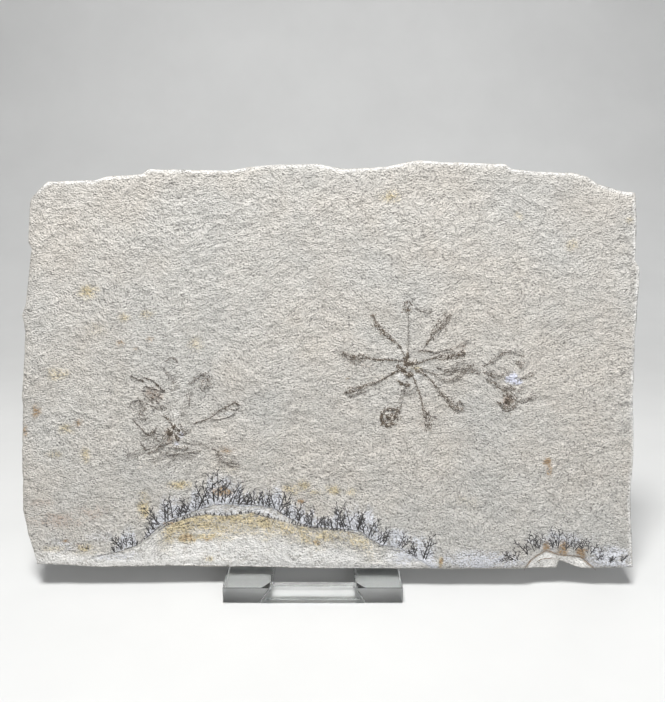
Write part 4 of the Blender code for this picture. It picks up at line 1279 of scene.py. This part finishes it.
class StandSettings(bpy.types.PropertyGroup):
    roughness: number("Roughness", "Roughness of the polished sheet", 0.02, 0.0, 1.0,
                      subtype="FACTOR")
    sawn: number("Sawn edge", "Extra roughness of the sawn front edges", 0.32, 0.0, 1.0,
                 subtype="FACTOR")
    tint: colour("Tint", "Colour of the clear sheet", (0.97, 0.985, 0.98))


class StageSettings(bpy.types.PropertyGroup):
    distance: number("Camera distance", "From the lens to the bedding face", 0.286, 0.1, 5.0,
                     unit="LENGTH")
    lens: number("Focal length", "Focal length on a 36 mm sensor", 36.615, 10.0, 200.0,
                 unit="CAMERA")
    key: number("Key light", "Power of the main light", 12.5, 0.0, 100.0, unit="POWER")
    floor: colour("Floor", "Pale floor and backdrop", (0.62, 0.62, 0.61))


# ---- the stage -------------------------------------------------------------------------------
def sweep_mesh(half_wide=12.0, front=-12.0, bend=0.35, radius=0.5, top=4.0, facets=24):
    """A sweep carried along X: flat, then a quarter turn of a large circle, then upright."""
    turn = np.linspace(0.0, math.pi / 2, facets)
    y = np.concatenate([[front], bend + radius * np.sin(turn), [bend + radius]])
    z = np.concatenate([[0.0], radius * (1.0 - np.cos(turn)), [top]]) - 0.2 * MM
    x = np.array([-half_wide, half_wide])
    verts = stacked(*np.broadcast_arrays(x[:, None], y[None], z[None])).reshape(-1, 3)
    mesh = bpy.data.meshes.new("floor")
    mesh.from_pydata(verts.tolist(), [], grid_faces(1, len(y) - 1, 0, False).tolist())
    mesh.polygons.foreach_set("use_smooth", np.full(len(mesh.polygons), True))
    return mesh


def pale_floor(stage):
    """The sweep, in pale paint with a faint mottle."""
    n = Nodes("pale_floor")
    mottle = n.ramp(n.noise(n.place(), 9.0, 4.0, 0.6), ((0.3, 0.97), (0.7, 1.03)))
    n.finish(Base_Color=n.shade(stage.floor, mottle), Roughness=0.6)
    mesh = sweep_mesh()
    mesh.materials.append(n.material)
    obj = bpy.data.objects.new("floor", mesh)
    bpy.context.scene.collection.objects.link(obj)


def area_light(name, place, size, power, tint=(1.0, 1.0, 1.0), aim=(0.0, 0.0, 0.08)):
    """A square lamp at a place, turned towards a point."""
    lamp = bpy.data.lights.new(name, "AREA")
    lamp.size = size
    lamp.energy = power
    lamp.color = tint
    obj = bpy.data.objects.new(name, lamp)
    obj.location = place
    x, y, z = np.subtract(aim, place)
    obj.rotation_euler = (math.atan2(math.hypot(x, y), -z), 0.0, math.atan2(y, x) - math.pi / 2)
    bpy.context.scene.collection.objects.link(obj)


def soft_lights(stage):
    """A key that grazes the leaning face, a weak cool fill, a back lamp and a pale sky."""
    area_light("key", (-0.08, -0.30, 0.95), 0.24, stage.key)
    area_light("fill", (0.55, -0.90, 0.45), 0.60, stage.key * FILL_SHARE, (0.92, 0.98, 1.08))
    area_light("back", (0.35, 0.95, 0.85), 0.70, stage.key * BACK_SHARE)
    world = bpy.data.worlds.new("studio")
    world.use_nodes = True
    sky = world.node_tree.nodes["Background"]
    sky.inputs["Color"].default_value = (0.97, 0.98, 1.0, 1.0)
    sky.inputs["Strength"].default_value = SKY_STRENGTH
    bpy.context.scene.world = world


def square_on_camera(stage):
    """The lens looks square onto the bedding face, at the point AIM."""
    data = bpy.data.cameras.new("camera")
    data.lens = stage.lens
    data.sensor_width = 36.0
    data.clip_start = 0.01
    cam = bpy.data.objects.new("camera", data)
    cam.location = lean_back(*AIM, -stage.distance / MM)
    cam.rotation_euler = (math.pi / 2 - LEAN, 0.0, 0.0)
    scene = bpy.context.scene
    scene.collection.objects.link(cam)
    scene.camera = cam
    scene.view_settings.view_transform = "Standard"


# ---- operators --------------------------------------------------------------------------------
class FOSSIL_OT_stone(bpy.types.Operator):
    """Build the limestone plate over its solid"""
    bl_idname = "fossil.stone"
    bl_label = "Limestone plate"

    def execute(self, context):
        stone = context.scene.fossil_stone
        flat, faces, broken = stone_mesh(stone)
        piece = new_piece("limestone_plate", flat, faces, limestone(stone), "limestone_slab")
        for name, values in stain_maps(flat[:, 0], flat[:, 1]).items():
            paint(piece, name, values * (1.0 - broken))
        paint(piece, "broken", broken)
        return {"FINISHED"}


def on_the_face(name, parts, material):
    """One piece from threads, plates or ribbons that lie on the bedding face."""
    flat, tris, tone = parts
    paint(new_piece(name, flat, tris, material), "tone", tone)


def need_face():
    if not FACE:
        raise RuntimeError("build the limestone plate first")


class FOSSIL_OT_crinoids(bpy.types.Operator):
    """Lay the crinoids' threads and skeleton plates on the bedding face"""
    bl_idname = "fossil.crinoids"
    bl_label = "Crinoids"

    def execute(self, context):
        need_face()
        fossil = context.scene.fossil_fossil
        calcite = fossil_calcite(fossil)
        for seed, name in enumerate(CRINOIDS, 100):
            on_the_face(name, crinoid_parts(name, fossil, seed), calcite)
        return {"FINISHED"}


class FOSSIL_OT_dendrites(bpy.types.Operator):
    """Grow the manganese bushes along the scar's rim and round the chip"""
    bl_idname = "fossil.dendrites"
    bl_label = "Dendrites"

    def execute(self, context):
        need_face()
        bush = context.scene.fossil_bush
        rng = np.random.RandomState(bush.seed)
        parts = []
        for grow in (rim_bushes, yellow_line_tufts, chip_bushes):
            parts += grow(bush, rng)
        for line, half, tone, sway in HAIRLINES:
            parts += hairlines(line, half, tone, sway, rng)
        on_the_face("dendrites", joined(parts), manganese(bush))
        return {"FINISHED"}


class FOSSIL_OT_stand(bpy.types.Operator):
    """Give the stand's sheets their clear finish"""
    bl_idname = "fossil.stand"
    bl_label = "Clear stand"

    def execute(self, context):
        clear = clear_acrylic(context.scene.fossil_stand)
        for name in STAND_NODES:
            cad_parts[name].data.materials[0] = clear
        return {"FINISHED"}


class FOSSIL_OT_stage(bpy.types.Operator):
    """Add the pale floor, the soft lights and the camera"""
    bl_idname = "fossil.stage"
    bl_label = "Floor, lights and camera"

    def execute(self, context):
        for add in (pale_floor, soft_lights, square_on_camera):
            add(context.scene.fossil_stage)
        return {"FINISHED"}


class FOSSIL_PT_panel(bpy.types.Panel):
    """Sizes, colours and the steps that build the fossil"""
    bl_idname = "FOSSIL_PT_panel"
    bl_label = "Crinoid fossil"
    bl_space_type = "VIEW_3D"
    bl_region_type = "UI"
    bl_category = "Fossil"

    def draw(self, context):
        for name, group, operator in STEPS:
            box = self.layout.box()
            for key in group.__annotations__:
                box.prop(getattr(context.scene, name), key)
            box.operator(operator.bl_idname)


STEPS = (
    ("fossil_stone", StoneSettings, FOSSIL_OT_stone),
    ("fossil_fossil", FossilSettings, FOSSIL_OT_crinoids),
    ("fossil_bush", DendriteSettings, FOSSIL_OT_dendrites),
    ("fossil_stand", StandSettings, FOSSIL_OT_stand),
    ("fossil_stage", StageSettings, FOSSIL_OT_stage),
)
CLASSES = (*(step[1] for step in STEPS), *(step[2] for step in STEPS), FOSSIL_PT_panel)


def register():
    for cls in CLASSES:
        bpy.utils.register_class(cls)
    for name, group, _ in STEPS:
        setattr(bpy.types.Scene, name, PointerProperty(type=group))


def unregister():
    for name, _, _ in STEPS:
        delattr(bpy.types.Scene, name)
    for cls in reversed(CLASSES):
        bpy.utils.unregister_class(cls)


def main():
    register()
    bpy.ops.fossil.stone()
    bpy.ops.fossil.crinoids()
    bpy.ops.fossil.dendrites()
    bpy.ops.fossil.stand()
    bpy.ops.fossil.stage()


if __name__ == "__main__":
    main()
